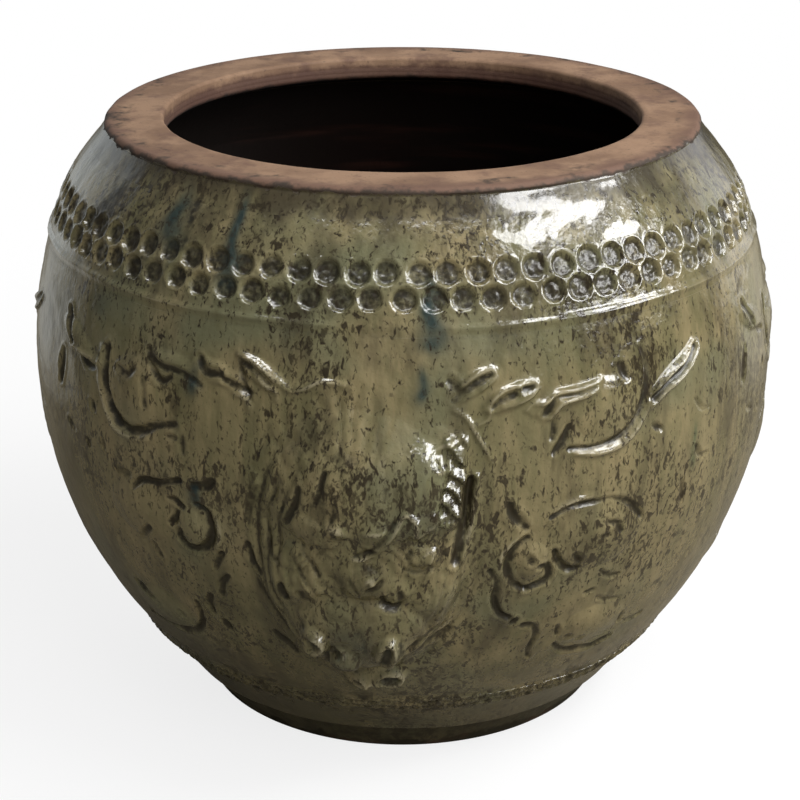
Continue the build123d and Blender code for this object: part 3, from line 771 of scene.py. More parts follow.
class Tree:
    """Adds nodes to a tree and joins them, so that a recipe reads from top to bottom."""

    def __init__(self, tree):
        self.tree = tree

    def add(self, kind, inputs=None, **settings):
        node = self.tree.nodes.new(kind)
        for name, value in settings.items():
            setattr(node, name, value)
        for key, value in (inputs or {}).items():
            self.feed(node.inputs[key], value)
        return node

    def feed(self, socket, value):
        if isinstance(value, bpy.types.NodeSocket):
            self.tree.links.new(value, socket)
        elif isinstance(value, bpy.types.Node):
            self.tree.links.new(value.outputs[0], socket)
        else:
            socket.default_value = value

    def sum(self, operation, *values):
        return self.add("ShaderNodeMath", dict(enumerate(values)), operation=operation).outputs[0]

    def times(self, a, b):
        return self.sum("MULTIPLY", a, b)

    def less(self, a, b):
        return self.sum("SUBTRACT", a, b)

    def scaled(self, value, by, plus):
        return self.sum("MULTIPLY_ADD", value, by, plus)

    def spread(self, value, low, high, to_low=0.0, to_high=1.0):
        """Smooth change of a value from one range to another."""
        inputs = {"Value": value, "From Min": low, "From Max": high, "To Min": to_low, "To Max": to_high}
        return self.add("ShaderNodeMapRange", inputs, interpolation_type="SMOOTHSTEP").outputs["Result"]

    def mix(self, share, a, b):
        return self.add("ShaderNodeMix", {0: share, 6: a, 7: b}, data_type="RGBA").outputs[2]

    def tint(self, colour, tint, value, low, high, most=1.0, least=0.0):
        """Lays a tint over the colour as the value goes from low to high."""
        return self.mix(self.spread(value, low, high, least, most), colour, tint)

    def mark(self, name):
        return self.add("ShaderNodeAttribute", attribute_name=name).outputs["Fac"]

    def place(self):
        return self.add("ShaderNodeTexCoord").outputs["Object"]

    def split(self, where):
        return self.add("ShaderNodeSeparateXYZ", {0: where}).outputs

    def length(self, where):
        return self.add("ShaderNodeVectorMath", {0: where}, operation="LENGTH").outputs["Value"]

    def noise(self, where, scale, detail=2.0, rough=0.5, warp=0.0):
        inputs = {"Vector": where, "Scale": scale, "Detail": detail, "Roughness": rough, "Distortion": warp}
        return self.add("ShaderNodeTexNoise", inputs).outputs[0]

    def stretched(self, where, size):
        return self.add("ShaderNodeMapping", {"Vector": where, "Scale": size}).outputs[0]

    def runny(self, where, flow, scale, detail=3.0, rough=0.6, warp=0.0):
        """Noise drawn out down the wall: a small flow makes long streaks."""
        return self.noise(self.stretched(where, (1.0, 1.0, flow)), scale, detail, rough, warp)


def new_group(name, kind, inputs, output):
    """Node group with named inputs and one output: the group, its tree, its inputs and its end socket."""
    group = bpy.data.node_groups.new(name, kind)
    for label, socket, value in inputs:
        made = group.interface.new_socket(label, in_out="INPUT", socket_type=socket)
        if value is not None:
            made.default_value = value
    group.interface.new_socket(output[0], in_out="OUTPUT", socket_type=output[1])
    tree = Tree(group)
    return group, tree, tree.add("NodeGroupInput").outputs, tree.add("NodeGroupOutput").inputs[0]


# Glaze and clay
Fleck = namedtuple("Fleck", "size amount draw softness strength")
OLIVE_FLECKS = [
    Fleck(3.0, 0.10, 0.40, 0.10, 0.50),
    Fleck(1.15, 0.30, 0.48, 0.05, 0.92),
    Fleck(0.7, 0.46, 0.55, 0.06, 0.75),
]
LIP_FLECKS = [Fleck(1.0, 0.75, 0.3, 0.06, 0.8), Fleck(1.8, 0.45, 0.3, 0.08, 0.8)]
FOOT_FLECKS = [Fleck(1.2, 0.9, 0.4, 0.07, 0.8), Fleck(2.4, 0.8, 0.4, 0.09, 0.8)]


def fleck_group():
    """Iron flecks in the glaze, drawn out down the wall, thick in some places and thin in others."""
    inputs = [("Size", FLOAT, 1.0), ("Amount", FLOAT, 0.5), ("Draw", FLOAT, 0.35), ("Softness", FLOAT, 0.07)]
    _, t, given, result = new_group("iron flecks", "ShaderNodeTree", inputs, ("Mask", FLOAT))
    where = t.place()
    size = t.add("ShaderNodeCombineXYZ", {0: 1.0, 1: 1.0, 2: given["Draw"]})
    drawn = t.add("ShaderNodeVectorMath", {0: where, 1: size}, operation="MULTIPLY").outputs[0]
    grain = t.noise(drawn, t.sum("DIVIDE", 330.0, given["Size"]), 2.0, 0.62, 0.5)
    edge = t.scaled(t.noise(where, 17.0, 3.0, 0.6), -0.50, 0.912)
    edge = t.scaled(given["Amount"], -0.16, edge)
    softness = given["Softness"]
    t.feed(result, t.spread(t.less(grain, edge), t.times(softness, -0.8), t.times(softness, 1.4)))


def surface_group():
    """Fine unevenness of the fired surface, for bump."""
    inputs = [("Ripple", FLOAT, 1.0)]
    _, t, given, result = new_group("fired surface", "ShaderNodeTree", inputs, ("Height", FLOAT))
    where = t.place()
    height = t.scaled(t.noise(where, 420.0), 0.20, t.runny(where, 0.35, 60.0, rough=0.55))
    t.feed(result, t.times(height, given["Ripple"]))


def new_material(name):
    material = bpy.data.materials.new(name)
    material.use_nodes = True
    return material, Tree(material.node_tree), material.node_tree.nodes["Principled BSDF"]


THICK_OLIVE = (0.098, 0.090, 0.040, 1)
THIN_TAN = (0.232, 0.186, 0.094, 1)
GREY_GREEN = (0.105, 0.112, 0.062, 1)
POOLED_BROWN = (0.011, 0.009, 0.005, 1)
FLECK_BROWN = (0.022, 0.016, 0.008, 1)
# Pale of glaze broken thin on edges, made lighter still as a painted highlight
EDGE_CREAM_AND_GLINT = (0.340, 0.300, 0.200, 1)
COPPER_BLUE = (0.010, 0.028, 0.030, 1)
COPPER_GREEN = (0.008, 0.050, 0.024, 1)
BARE_TAN = (0.152, 0.084, 0.046, 1)
BARE_PALE = (0.234, 0.140, 0.081, 1)
BARE_RED = (0.105, 0.053, 0.033, 1)
BURNT = (0.030, 0.018, 0.010, 1)
# Near-black of the inside: dark clay, darkened further as painted shade
INSIDE_BROWN_AND_SHADE = (0.008, 0.005, 0.004, 1)
INSIDE_RED = (0.050, 0.018, 0.012, 1)
FOOT_DARK = (0.020, 0.017, 0.009, 1)


def glaze_colour(t, flecks):
    """Colour of the runny olive glaze: thick and thin, flecked, pooled in the hollows."""
    where = t.place()
    height = t.split(where)[2]
    broad = t.runny(where, 0.6, 9.0)
    thin = t.scaled(t.runny(where, 0.12, 90.0, warp=0.2), 0.7, t.scaled(broad, 0.8, -0.28))
    colour = t.tint(THICK_OLIVE, THIN_TAN, thin, 0.25, 0.75)
    colour = t.tint(colour, GREY_GREEN, t.noise(where, 14.0), 0.50, 0.70, 0.75)
    colour = t.tint(colour, FLECK_BROWN, t.runny(where, 0.22, 55.0, 4.0, 0.62, 0.25), 0.46, 0.72, 0.68)
    colour = t.tint(colour, THICK_OLIVE, t.runny(where, 0.5, 120.0, 3.0, 0.7, 0.6), 0.48, 0.70, 0.45)
    under_lip = t.scaled(t.runny(where, 0.16, 75.0), 0.050, height)
    lip_start, lip_end = (JAR_HEIGHT + 1) * MM, (JAR_HEIGHT + 23) * MM
    colour = t.tint(colour, FLECK_BROWN, under_lip, lip_start, lip_end, 0.85)
    # Darker towards the bottom
    colour = t.tint(colour, FLECK_BROWN, t.scaled(broad, 0.09, height), 0.150, 0.075, 0.42)
    # Raised edges go pale: the glaze is broken thin there, and a painted highlight runs along them
    colour = t.tint(colour, EDGE_CREAM_AND_GLINT, t.mark("ridge"), 0.35, 1.0, 0.55, 0.04)
    hollow = t.mark("hollow")
    broken = t.scaled(t.noise(where, 230.0, 3.0, 0.7), 2.2, -1.10)
    colour = t.tint(colour, POOLED_BROWN, t.scaled(broken, hollow, hollow), 0.20, 0.95, 0.92)
    colour = t.mix(t.times(t.mark("copper"), 0.86), colour, COPPER_BLUE)
    colour = t.mix(t.times(t.mark("green"), 0.8), colour, COPPER_GREEN)
    for fleck in flecks:
        inputs = {"Size": fleck.size, "Amount": fleck.amount, "Draw": fleck.draw, "Softness": fleck.softness}
        mask = t.add("ShaderNodeGroup", inputs, node_tree=bpy.data.node_groups["iron flecks"])
        colour = t.mix(t.times(mask.outputs[0], fleck.strength), colour, FLECK_BROWN)
    return colour


def surface_bump(t, shader, strength, distance):
    """Fine unevenness of the surface on a finish, and how tall it is in metres."""
    group = t.add("ShaderNodeGroup", {"Ripple": 1.0}, node_tree=bpy.data.node_groups["fired surface"])
    inputs = {"Height": group.outputs[0], "Strength": strength, "Distance": distance}
    t.feed(shader.inputs["Normal"], t.add("ShaderNodeBump", inputs))


def olive_glaze():
    """Glossy glaze, duller where it pools in the hollows."""
    material, t, shader = new_material("olive ash glaze")
    t.feed(shader.inputs["Base Color"], glaze_colour(t, OLIVE_FLECKS))
    t.feed(shader.inputs["Roughness"], t.scaled(t.mark("hollow"), 0.22, 0.20))
    t.feed(shader.inputs["Coat Weight"], t.scaled(t.mark("hollow"), -0.58, 0.75))
    shader.inputs["Coat Roughness"].default_value = 0.04
    surface_bump(t, shader, 0.75, 0.0018)
    return material


def clay_colour(t, where):
    """Colour of the bare clay: pale and tan, red in patches, with dark grains."""
    colour = t.tint(BARE_TAN, BARE_PALE, t.noise(where, 26.0, 4.0, 0.6), 0.36, 0.62)
    colour = t.tint(colour, BARE_RED, t.noise(where, 48.0, 4.0, 0.65), 0.50, 0.68, 0.75)
    return t.tint(colour, BURNT, t.noise(where, 500.0, 3.0, 0.7), 0.60, 0.70, 0.6)


def lip_clay():
    """Bare lip: tan clay, scorched where the glaze starts, red and then dark inside, the dark partly painted
    shade.
    """
    material, t, shader = new_material("bare lip clay")
    where = t.place()
    place = t.split(where)
    radius = t.length(t.add("ShaderNodeCombineXYZ", {0: place[0], 1: place[1], 2: 0.0}))
    uneven = t.scaled(t.noise(where, 90.0, 4.0, 0.65), 0.010, -0.005)
    height = t.sum("ADD", place[2], uneven)

    def below(start, end):
        """Share that grows from one depth under the lip's top to another, in mm."""
        return t.spread(height, (JAR_HEIGHT - start) * MM, (JAR_HEIGHT - end) * MM)

    outside = t.spread(radius, 0.150, 0.152)
    glazed = t.times(outside, below(3.2, 4.2))
    scorched = t.times(outside, below(0.6, 3.0))
    red = t.times(below(3.0, 8.0), t.spread(radius, 0.150, 0.148))
    deep = t.times(t.spread(radius, 0.150, 0.149), below(11, 15))
    colour = clay_colour(t, where)
    edge = t.scaled(t.noise(where, 55.0, 4.0, 0.65), 0.018, radius)
    colour = t.tint(colour, BARE_RED, edge, 0.161, 0.172, 0.85)
    colour = t.mix(t.times(red, 0.8), colour, INSIDE_RED)
    colour = t.mix(deep, colour, INSIDE_BROWN_AND_SHADE)
    colour = t.mix(scorched, colour, BURNT)
    glaze_edge = glaze_colour(t, LIP_FLECKS)
    t.feed(shader.inputs["Base Color"], t.mix(glazed, colour, glaze_edge))
    t.feed(shader.inputs["Roughness"], t.spread(glazed, 0.0, 1.0, 0.78, 0.22))
    t.feed(shader.inputs["Coat Weight"], t.times(glazed, 0.6))
    shader.inputs["Coat Roughness"].default_value = 0.06
    surface_bump(t, shader, 0.5, 0.0012)
    return material


def dark_inside():
    """Matt inside, banded by the potter's fingers; its near-black is partly dark clay and partly painted
    shade far down in the jar.
    """
    material, t, shader = new_material("dark inside")
    bands = t.noise(t.stretched(t.place(), (0.25, 0.25, 3.0)), 30.0, 3.0, 0.6)
    t.feed(shader.inputs["Base Color"], t.tint(INSIDE_BROWN_AND_SHADE, INSIDE_RED, bands, 0.5, 0.75, 0.5))
    shader.inputs["Roughness"].default_value = 0.62
    shader.inputs["Specular IOR Level"].default_value = 0.25
    surface_bump(t, shader, 0.5, 0.0015)
    return material


def dark_foot():
    """Foot: the last of the glaze, run thin over dark clay, and rubbed bare at the bottom edge."""
    material, t, shader = new_material("dark foot")
    where = t.place()
    glazed_from, bare_below = 0.0185, 0.0145
    ragged = t.scaled(t.runny(where, 0.3, 70.0), 0.022, t.split(where)[2])
    colour = glaze_colour(t, FOOT_FLECKS)
    colour = t.mix(0.55, colour, FOOT_DARK)
    bare = t.tint(FOOT_DARK, BARE_RED, t.noise(where, 45.0, 4.0, 0.6), 0.45, 0.7, 0.5)
    t.feed(shader.inputs["Base Color"], t.tint(colour, bare, ragged, glazed_from, bare_below))
    t.feed(shader.inputs["Roughness"], t.spread(ragged, bare_below, glazed_from, 0.62, 0.28))
    surface_bump(t, shader, 0.6, 0.0012)
    return material


# Pressed rows
def pressed_row_tree():
    """Presses one row of round hollows into a strip, each a little different from the next."""
    inputs = [
        ("Geometry", "NodeSocketGeometry", None), ("Count", FLOAT, float(DIMPLES_IN_ROW)),
        ("Shift", FLOAT, 0.0), ("Height", FLOAT, 0.3), ("Radius", FLOAT, 0.006), ("Depth", FLOAT, 0.002),
        ("Floor", FLOAT, 0.4), ("Grain", FLOAT, 400.0), ("Slant", FLOAT, 1.0), ("Wander", FLOAT, 0.1),
        ("Seed", "NodeSocketInt", 0), ("Glaze", "NodeSocketMaterial", None),
    ]
    output = ("Geometry", "NodeSocketGeometry")
    group, t, g, result = new_group("pressed row", "GeometryNodeTree", inputs, output)
    where = t.add("GeometryNodeInputPosition").outputs[0]
    x, y, z = t.split(where)
    turn = t.sum("ARCTAN2", x, t.times(y, -1.0))
    column = t.scaled(t.sum("DIVIDE", turn, 2 * math.pi), g["Count"], g["Shift"])
    nearest = t.sum("ROUND", column)
    number = t.sum("WRAP", nearest, g["Count"], 0.0)

    def chance(low, high, offset):
        """Random value that stays the same over one hollow."""
        seed = t.sum("ADD", g["Seed"], float(offset))
        inputs = {2: low, 3: high, "ID": number, "Seed": seed}
        return t.add("FunctionNodeRandomValue", inputs, data_type="FLOAT").outputs[1]

    def attribute(name):
        named = t.add("GeometryNodeInputNamedAttribute", {"Name": name}, data_type="FLOAT")
        return named.outputs["Attribute"]

    def stored(geometry, name, mark):
        """Keeps the stronger of a mark and what the strip had before."""
        value = t.sum("MAXIMUM", attribute(name), mark)
        inputs = {"Geometry": geometry, "Selection": chosen, "Name": name, "Value": value}
        return t.add("GeometryNodeStoreNamedAttribute", inputs, data_type="FLOAT")

    away = t.less(t.less(column, nearest), t.times(chance(-1.0, 1.0, 1), g["Wander"]))
    radius = t.sum("SQRT", t.scaled(x, x, t.times(y, y)))
    pitch = t.sum("DIVIDE", t.times(radius, 2 * math.pi), g["Count"])
    side = t.times(away, pitch)
    stray = t.times(chance(-1.0, 1.0, 2), t.times(g["Wander"], pitch))
    rise = t.times(t.less(t.less(z, g["Height"]), stray), g["Slant"])
    apart = t.sum("SQRT", t.scaled(side, side, t.times(rise, rise)))
    reach = t.sum("DIVIDE", apart, t.times(g["Radius"], chance(0.93, 1.05, 3)))
    bowl = t.spread(reach, 1.0, g["Floor"])
    lip = t.times(t.spread(reach, 0.97, 1.06), t.spread(reach, 1.20, 1.08))
    rough = t.times(t.scaled(t.noise(where, g["Grain"], 2.0, 0.6), 1.3, -0.65), bowl)
    depth = t.times(g["Depth"], chance(0.75, 1.15, 4))
    push = t.sum("ADD", t.less(t.times(lip, 0.15), bowl), rough)
    inputs = {0: t.add("GeometryNodeInputNormal"), "Scale": t.times(push, depth)}
    move = t.add("ShaderNodeVectorMath", inputs, operation="SCALE")
    chosen = t.sum("GREATER_THAN", attribute("worked"), 0.5)
    # Dark floors of pooled glaze; pale lips through the ridge mark, which are thin glaze and painted glints
    # on the rims
    marked = stored(stored(g["Geometry"], "hollow", t.times(bowl, 0.72)), "ridge", t.times(lip, 0.55))
    inputs = {"Geometry": marked, "Selection": chosen, "Offset": move}
    whole = t.add("GeometryNodeRealizeInstances", {0: t.add("GeometryNodeSetPosition", inputs)})
    t.feed(result, t.add("GeometryNodeSetMaterial", {"Geometry": whole, "Material": g["Glaze"]}))
    return group


def press(body, tree, common, rows):
    """Runs the strip through the tree once for each row, and keeps the result as a plain mesh."""
    sockets = {s.name: s.identifier for s in tree.interface.items_tree if s.in_out == "INPUT"}
    for shift, height, seed in rows:
        modifier = body.modifiers.new("row", "NODES")
        modifier.node_group = tree
        for label, value in {**common, "Shift": shift, "Height": height * MM, "Seed": seed}.items():
            modifier[sockets[label]] = value
    bpy.context.view_layer.update()
    depsgraph = bpy.context.evaluated_depsgraph_get()
    shown = body.evaluated_get(depsgraph)
    mesh = bpy.data.meshes.new_from_object(shown, preserve_all_data_layers=True, depsgraph=depsgraph)
    body.modifiers.clear()
    mesh.name = body.name
    body.data = mesh


def pressed_strip(tree, name, relief, points, pressed, rows, crisp=()):
    """A strip whose first rows are worked and pressed with two rows of hollows."""
    marks = marks_of(relief, points.shape[:2])
    worked_rows = np.zeros(points.shape[:2])
    worked_rows[1:len(relief.turn) - 1] = 1
    marks["worked"] = worked_rows.ravel()
    body = ring_piece(name, points, [glaze], crisp, marks)
    press(body, tree, {**pressed, "Slant": 1.10, "Glaze": glaze}, rows)


# The jar, from the foot up: stops of the one grid that all the wall pieces share
LOW_STOPS = [FOOT_HEIGHT, FLARE_HEIGHT, STRIP_LOW_HEIGHT, STRIP_HIGH_HEIGHT, CHIN_HEIGHT]
HIGH_STOPS = [
    LOWER_JOINT_HEIGHT, BELLY_HEIGHT,
    CORDON_HEIGHT - CORDON_HALF_WIDTH, CORDON_HEIGHT + CORDON_HALF_WIDTH, SHOULDER_HEIGHT,
]

# Pieces pressed in moulds and laid on the wall: node, the domes that each covers, and how much of them
SPRIGS = [
    ("mask_faces", ["face"], 1.0),
    ("mask_foreheads", ["forehead"], 0.97),
    ("mask_muzzles", ["muzzle"], 0.97),
    ("mask_noses", ["nose"], 0.97),
    ("mask_brows", ["left brow", "right brow"], 0.97),
    ("mask_eyes", ["left eye", "right eye"], 0.97),
    ("mask_teeth", ["left tooth", "middle tooth", "right tooth"], 0.97),
    ("mask_chin_lips", ["chin lip"], 0.97),
    ("mask_ears", ["left ear", "right ear"], 0.97),
    ("mask_locks", ["right first lock", "right second lock", "left first lock", "left second lock"], 0.97),
    ("scroll_leaves", ["right leaf", "left leaf"], 0.97),
    ("scroll_tails", ["right tail", "left tail"], 0.97),
    ("scroll_curls", ["right curl", "left curl"], 0.97),
    ("scroll_cheeks", ["right scroll", "left scroll"], 0.97),
    ("scroll_lower_leaves", ["right lower scroll", "left lower scroll"], 0.97),
]

# Rings laid on the wall: node, foot and top
LAID_RINGS = [
    ("shoulder_cordon", CORDON_HEIGHT - CORDON_HALF_WIDTH, CORDON_HEIGHT + CORDON_HALF_WIDTH),
    ("lower_stamped_band", STRIP_LOW_HEIGHT, STRIP_HIGH_HEIGHT),
]


def inside_domes(relief, names, share):
    """Which places lie within the named domes."""
    spreads = [dome_spread(dome, relief.across, relief.up)[0] for dome in DOMES if dome.name in names]
    return np.min(spreads, axis=0) < share**2


def cells_of(points_inside):
    """Cells whose four corners are all inside."""
    both = points_inside & np.roll(points_inside, -1, 1)
    return both[:-1] & both[1:]


def inner_points(cells):
    """Points with every cell round them in the piece."""
    padded = np.pad(cells, ((1, 1), (0, 0)))
    here = padded[:-1] & padded[1:]
    return here & np.roll(here, 1, 1)


def touched_points(cells):
    """Points with at least one cell of the piece beside them."""
    padded = np.pad(cells, ((1, 1), (0, 0)))
    here = padded[:-1] | padded[1:]
    return here | np.roll(here, 1, 1)


class Wall:
    """The grid that the wall and its sprigs share, with the layers laid on it."""

    def __init__(self):
        lower = heights_between(*LOW_STOPS, step=LOW_ROW_STEP)
        middle = heights_between(CHIN_HEIGHT, LOWER_JOINT_HEIGHT, step=CHIN_ROW_STEP)
        upper = heights_between(*HIGH_STOPS, step=ROW_STEP)
        self.heights = np.concatenate([lower, middle[1:], upper[1:]])
        turn, height = np.meshgrid(turns, self.heights)
        self.relief = worked(turn, height)
        self.points = on_wall(turn, height, self.relief.proud)
        self.normals = normals_of(self.points)
        self.layers = [(node, cells_of(inside_domes(self.relief, *domes))) for node, *domes in SPRIGS]
        for node, low, high in LAID_RINGS:
            on_ring = (height > low - 0.01) & (height < high + 0.01)
            self.layers.append((node, cells_of(on_ring)))

    def rows_between(self, low, high):
        first, last = (int(np.argmin(np.abs(self.heights - height))) for height in (low, high))
        return slice(first, last + 1)

    def sunk(self, number):
        """How far each point is pressed in by the layers above one, in mm: less along their edges."""
        covered = np.zeros(self.relief.turn.shape)
        for _, cells in self.layers[number + 1:]:
            covered += 0.95 * inner_points(cells) + 0.05 * touched_points(cells)
        return LAID_IN * covered


def inner_rows(low, high):
    """Points of the inner face, from the top down, a little uneven between its two joints."""
    count = max(2, round((high - low) / INNER_ROW_STEP))
    turn, height = np.meshgrid(turns, np.linspace(high, low, count + 1))
    uneven = 0.5 * lumps(turn, height, 14, 45.0, 21) + 0.25 * np.sin(0.7 * height)
    uneven *= np.sin(np.linspace(0, math.pi, count + 1))[:, None]
    return on_wall(turn, height, uneven - WALL)


def wall_piece(wall, name, low, high):
    """One thrown section of the wall: glazed outside, dark inside."""
    rows = wall.rows_between(low, high)
    outer = wall.points[rows] - wall.normals[rows] * wall.sunk(-1)[rows][..., None] * MM
    points = np.concatenate([outer, inner_rows(low, high)])
    top, count = len(outer) - 1, len(points)
    marks = marks_of(wall.relief, points.shape[:2], shown=rows)
    crisp = [0, top, top + 1, count - 1]
    body = ring_piece(name, points, [glaze, inside], crisp, marks, range(top, count))
    body.data.update()
    outside = np.arange(count).repeat(4 * COLUMNS) < top
    share_directions(body, wall.normals[rows].reshape(-1, 3), outside)


def laid_piece(wall, number):
    """A piece laid on the wall: its shown face, and its back just over what carries it."""
    node, cells = wall.layers[number]
    i, j = np.nonzero(cells)
    after = (j + 1) % COLUMNS
    corners = [i * COLUMNS + j, i * COLUMNS + after, (i + 1) * COLUMNS + after, (i + 1) * COLUMNS + j]
    corners = np.stack(corners, -1)
    halves = np.concatenate([corners[:, [0, 1, 2]], corners[:, [0, 2, 3]]])
    inner = inner_points(cells).ravel()
    halves = halves[inner[halves].any(1)]
    shown = np.unique(halves)
    inner = inner[shown]
    top_ids = np.full(cells.shape[1] * (cells.shape[0] + 1), -1)
    top_ids[shown] = np.arange(len(shown))
    back_ids = top_ids.copy()
    back_ids[shown[inner]] = len(shown) + np.arange(inner.sum())
    depth = wall.sunk(number).ravel()[shown, None]
    points, normals = wall.points.reshape(-1, 3)[shown], wall.normals.reshape(-1, 3)[shown]
    top = points - normals * depth * MM
    back = (points - normals * (depth + LAID_THICKNESS) * MM)[inner]
    faces = np.concatenate([top_ids[halves], back_ids[halves][:, ::-1]])
    marks = {}
    for label in MARKS:
        values = getattr(wall.relief, label).ravel()[shown]
        marks[label] = np.concatenate([values, values[inner]])
    body = piece(node, np.concatenate([top, back]), faces, [glaze], marks)
    on_top = np.arange(len(faces)).repeat(3) < len(halves)
    share_directions(body, normals, on_top)


def fine_strip(low, high):
    """Worked face of a strip laid round the wall, on a finer grid."""
    turn, height = np.meshgrid(turns_of(BAND_COLUMNS), heights_between(low, high, step=BAND_ROW_STEP))
    relief = worked(turn, height)
    return relief, on_wall(turn, height, relief.proud)


def make_dimpled_band(tree):
    """Soft strip seated in the shoulder's rebate, pressed with two rows of finger dimples."""
    relief, face = fine_strip(SHOULDER_HEIGHT, BAND_TOP_HEIGHT)
    back = on_wall(relief.turn[[-1, 0]], relief.height[[-1, 0]], BAND_CLEARANCE - BAND_DEPTH)
    last = len(face) - 1
    points, crisp = np.concatenate([face, back]), [0, last, last + 1, last + 2]
    pressed_strip(tree, "dimpled_band", relief, points, DIMPLE, DIMPLE_ROWS, crisp)


def make_stamped_band(tree):
    """Thin strip low on the wall, pressed with two rows of small stamps."""
    relief, face = fine_strip(STRIP_LOW_HEIGHT, STRIP_HIGH_HEIGHT)
    back = on_wall(relief.turn, relief.height, relief.proud - LAID_THICKNESS)[-2:0:-1]
    pressed_strip(tree, "lower_stamped_band", relief, np.concatenate([face, back]), STAMP, STAMP_ROWS)


def ring_rows(rows):
    """Points of a ring from its section: radius and height of each row, and how uneven it is, in mm."""
    found = []
    for radius, height, uneven in rows:
        level = 0 * turns + height
        wave = lumps(turns, level, 16, 60.0, 31) + 0.5 * lumps(turns, level, 70, 60.0, 32)
        found.append(placed(turns, radius + uneven * wave, level))
    return np.array(found)


def arc_rows(middle, radius, start, end, count, uneven):
    """Rows round an edge: middle of the arc, its radius, and its first and last angle in degrees."""
    angles = np.radians(np.linspace(start, end, count))
    return [(middle[0] + radius * math.cos(a), middle[1] + radius * math.sin(a), uneven) for a in angles]


def make_lip_top():
    """Flat top of the lip, which dips and swells a little."""
    found = []
    flat = 0 * turns
    for radius in np.linspace(LIP_RADIUS - 5.0, MOUTH_RADIUS + 3.2, 24):
        dip = 0.28 * lumps(turns, flat, 30, 60.0, 33) + 0.16 * lumps(turns, flat + 3 * radius, 90, 9.0, 34)
        sway = 0.5 * lumps(turns, flat, 16, 60.0, 31)
        found.append(placed(turns, radius + sway, JAR_HEIGHT - 0.7 + dip))
    return np.array(found)


def make_rim():
    """Heavy lip: rounded outer edge, a top that sags a little to the mouth, worn inner edge."""
    side_top = JAR_HEIGHT - 4
    turn, height = np.meshgrid(turns, heights_between(RIM_JOINT_HEIGHT, side_top, step=RIM_ROW_STEP))
    relief = worked(turn, height)
    share = (height - RIM_JOINT_HEIGHT) / (side_top - RIM_JOINT_HEIGHT)
    low_radius, top_radius = float(outline(RIM_JOINT_HEIGHT)[0]), LIP_RADIUS - 0.3
    straight = placed(turn, low_radius + (top_radius - low_radius) * share + 0.5 * relief.proud, height)
    blend = ease(0, 1, share)[..., None]
    side = on_wall(turn, height, relief.proud) * (1 - blend) + straight * blend
    outer_edge = ring_rows(arc_rows((LIP_RADIUS - 3.6, JAR_HEIGHT - 3.9), 3.3, 8, 90, 7, 0.6))
    inner_edge = ring_rows(arc_rows((MOUTH_RADIUS + 2.3, JAR_HEIGHT - 2.9), 2.1, 90, 180, 6, 0.5))
    drops = np.arange(4.5, 12)
    mouth = ring_rows([(MOUTH_RADIUS + 0.3 + 0.15 * math.sin(2 * d), JAR_HEIGHT - d, 0.5) for d in drops])
    start, end = np.array([MOUTH_RADIUS + 1.2, JAR_HEIGHT - 13.5]), under_wall(RIM_JOINT_HEIGHT, WALL)
    under = [(*start, 0.4)] + [(*(start + (end - start) * part), 0.0) for part in (0.25, 0.5, 0.75, 1.0)]
    points = np.concatenate([side, outer_edge, make_lip_top(), inner_edge, mouth, ring_rows(under)])
    marks = marks_of(relief, points.shape[:2])
    ring_piece("rim", points, [lip], [0, len(points) - 1], marks)


def make_shoulder():
    """Closing section of the wall, rebated below for the dimpled band."""
    turn, height = np.meshgrid(turns, heights_between(BAND_TOP_HEIGHT, RIM_JOINT_HEIGHT, step=ROW_STEP))
    relief = worked(turn, height)
    rebate = on_wall(*np.meshgrid(turns, [SHOULDER_HEIGHT, BAND_TOP_HEIGHT]), -BAND_DEPTH)
    face = on_wall(turn, height, relief.proud)
    points = np.concatenate([rebate, face, inner_rows(SHOULDER_HEIGHT, RIM_JOINT_HEIGHT)])
    first, top, count = len(rebate), len(rebate) + len(face) - 1, len(points)
    marks = marks_of(relief, points.shape[:2], first)
    crisp = [0, 1, first, top, top + 1, count - 1]
    ring_piece("shoulder_wall", points, [glaze, inside], crisp, marks, range(top, count))


def make_foot():
    """Ring round the floor, with a rough dark side and a ledge under the wall."""
    ledge, inner = under_wall(FOOT_HEIGHT, FOOT_LEDGE), under_wall(FOOT_HEIGHT, WALL)
    section = [(FLOOR_RADIUS, 0, 0), (FOOT_RADIUS - 1.2, 0, 0), (FOOT_RADIUS - 0.4, 0.5, 0)]
    for part in np.linspace(0, 1, 18)[1:]:
        radius = FOOT_RADIUS - 0.2 + (ledge[0] - FOOT_RADIUS) * part
        section.append((radius, ledge[1] * part, 0.35 * math.sin(math.pi * part)))
    section += [(*inner, 0), (FLOOR_RADIUS + FLOOR_BEVEL, FLOOR_THICKNESS, 0)]
    count = len(section)
    crisp, slope = [0, 1, count - 3, count - 2, count - 1], [count - 2]
    ring_piece("foot_ring", ring_rows(section), [foot, inside], crisp, None, slope)


def make_floor_slab():
    """Slab floor: flat below, a little uneven on top."""
    around = turns_of(SLAB_COLUMNS)
    edge = FLOOR_RADIUS + FLOOR_BEVEL
    rings = [(0.35 * FLOOR_RADIUS, 0.0), (FLOOR_RADIUS, 0.0), (edge - 0.02, FLOOR_THICKNESS)]
    for part in np.linspace(0.94, 0.06, 12):
        rings.append((edge * part, FLOOR_THICKNESS - 0.5 * (1 - part) * math.cos(9 * part)))
    points = np.concatenate([placed(around, radius, height + 0 * around) for radius, height in rings])
    middles = np.array([[0, 0, 0], [0, 0, FLOOR_THICKNESS * MM]])
    faces = ring_faces(len(rings), SLAB_COLUMNS).tolist()
    last, under, over = (len(rings) - 1) * SLAB_COLUMNS, len(points), len(points) + 1
    for k in range(SLAB_COLUMNS):
        after = (k + 1) % SLAB_COLUMNS
        faces += [[under, after, k], [over, last + k, last + after]]
    dark_rows = [1] * ((len(rings) - 3) * SLAB_COLUMNS)
    slots = np.array([0] * (2 * SLAB_COLUMNS) + dark_rows + [0, 1] * SLAB_COLUMNS)
    points = np.concatenate([points, middles])
    body = piece("base_disc", points, faces, [foot, inside], None, slots)
    crisp_rings(body, SLAB_COLUMNS, [1, 2])


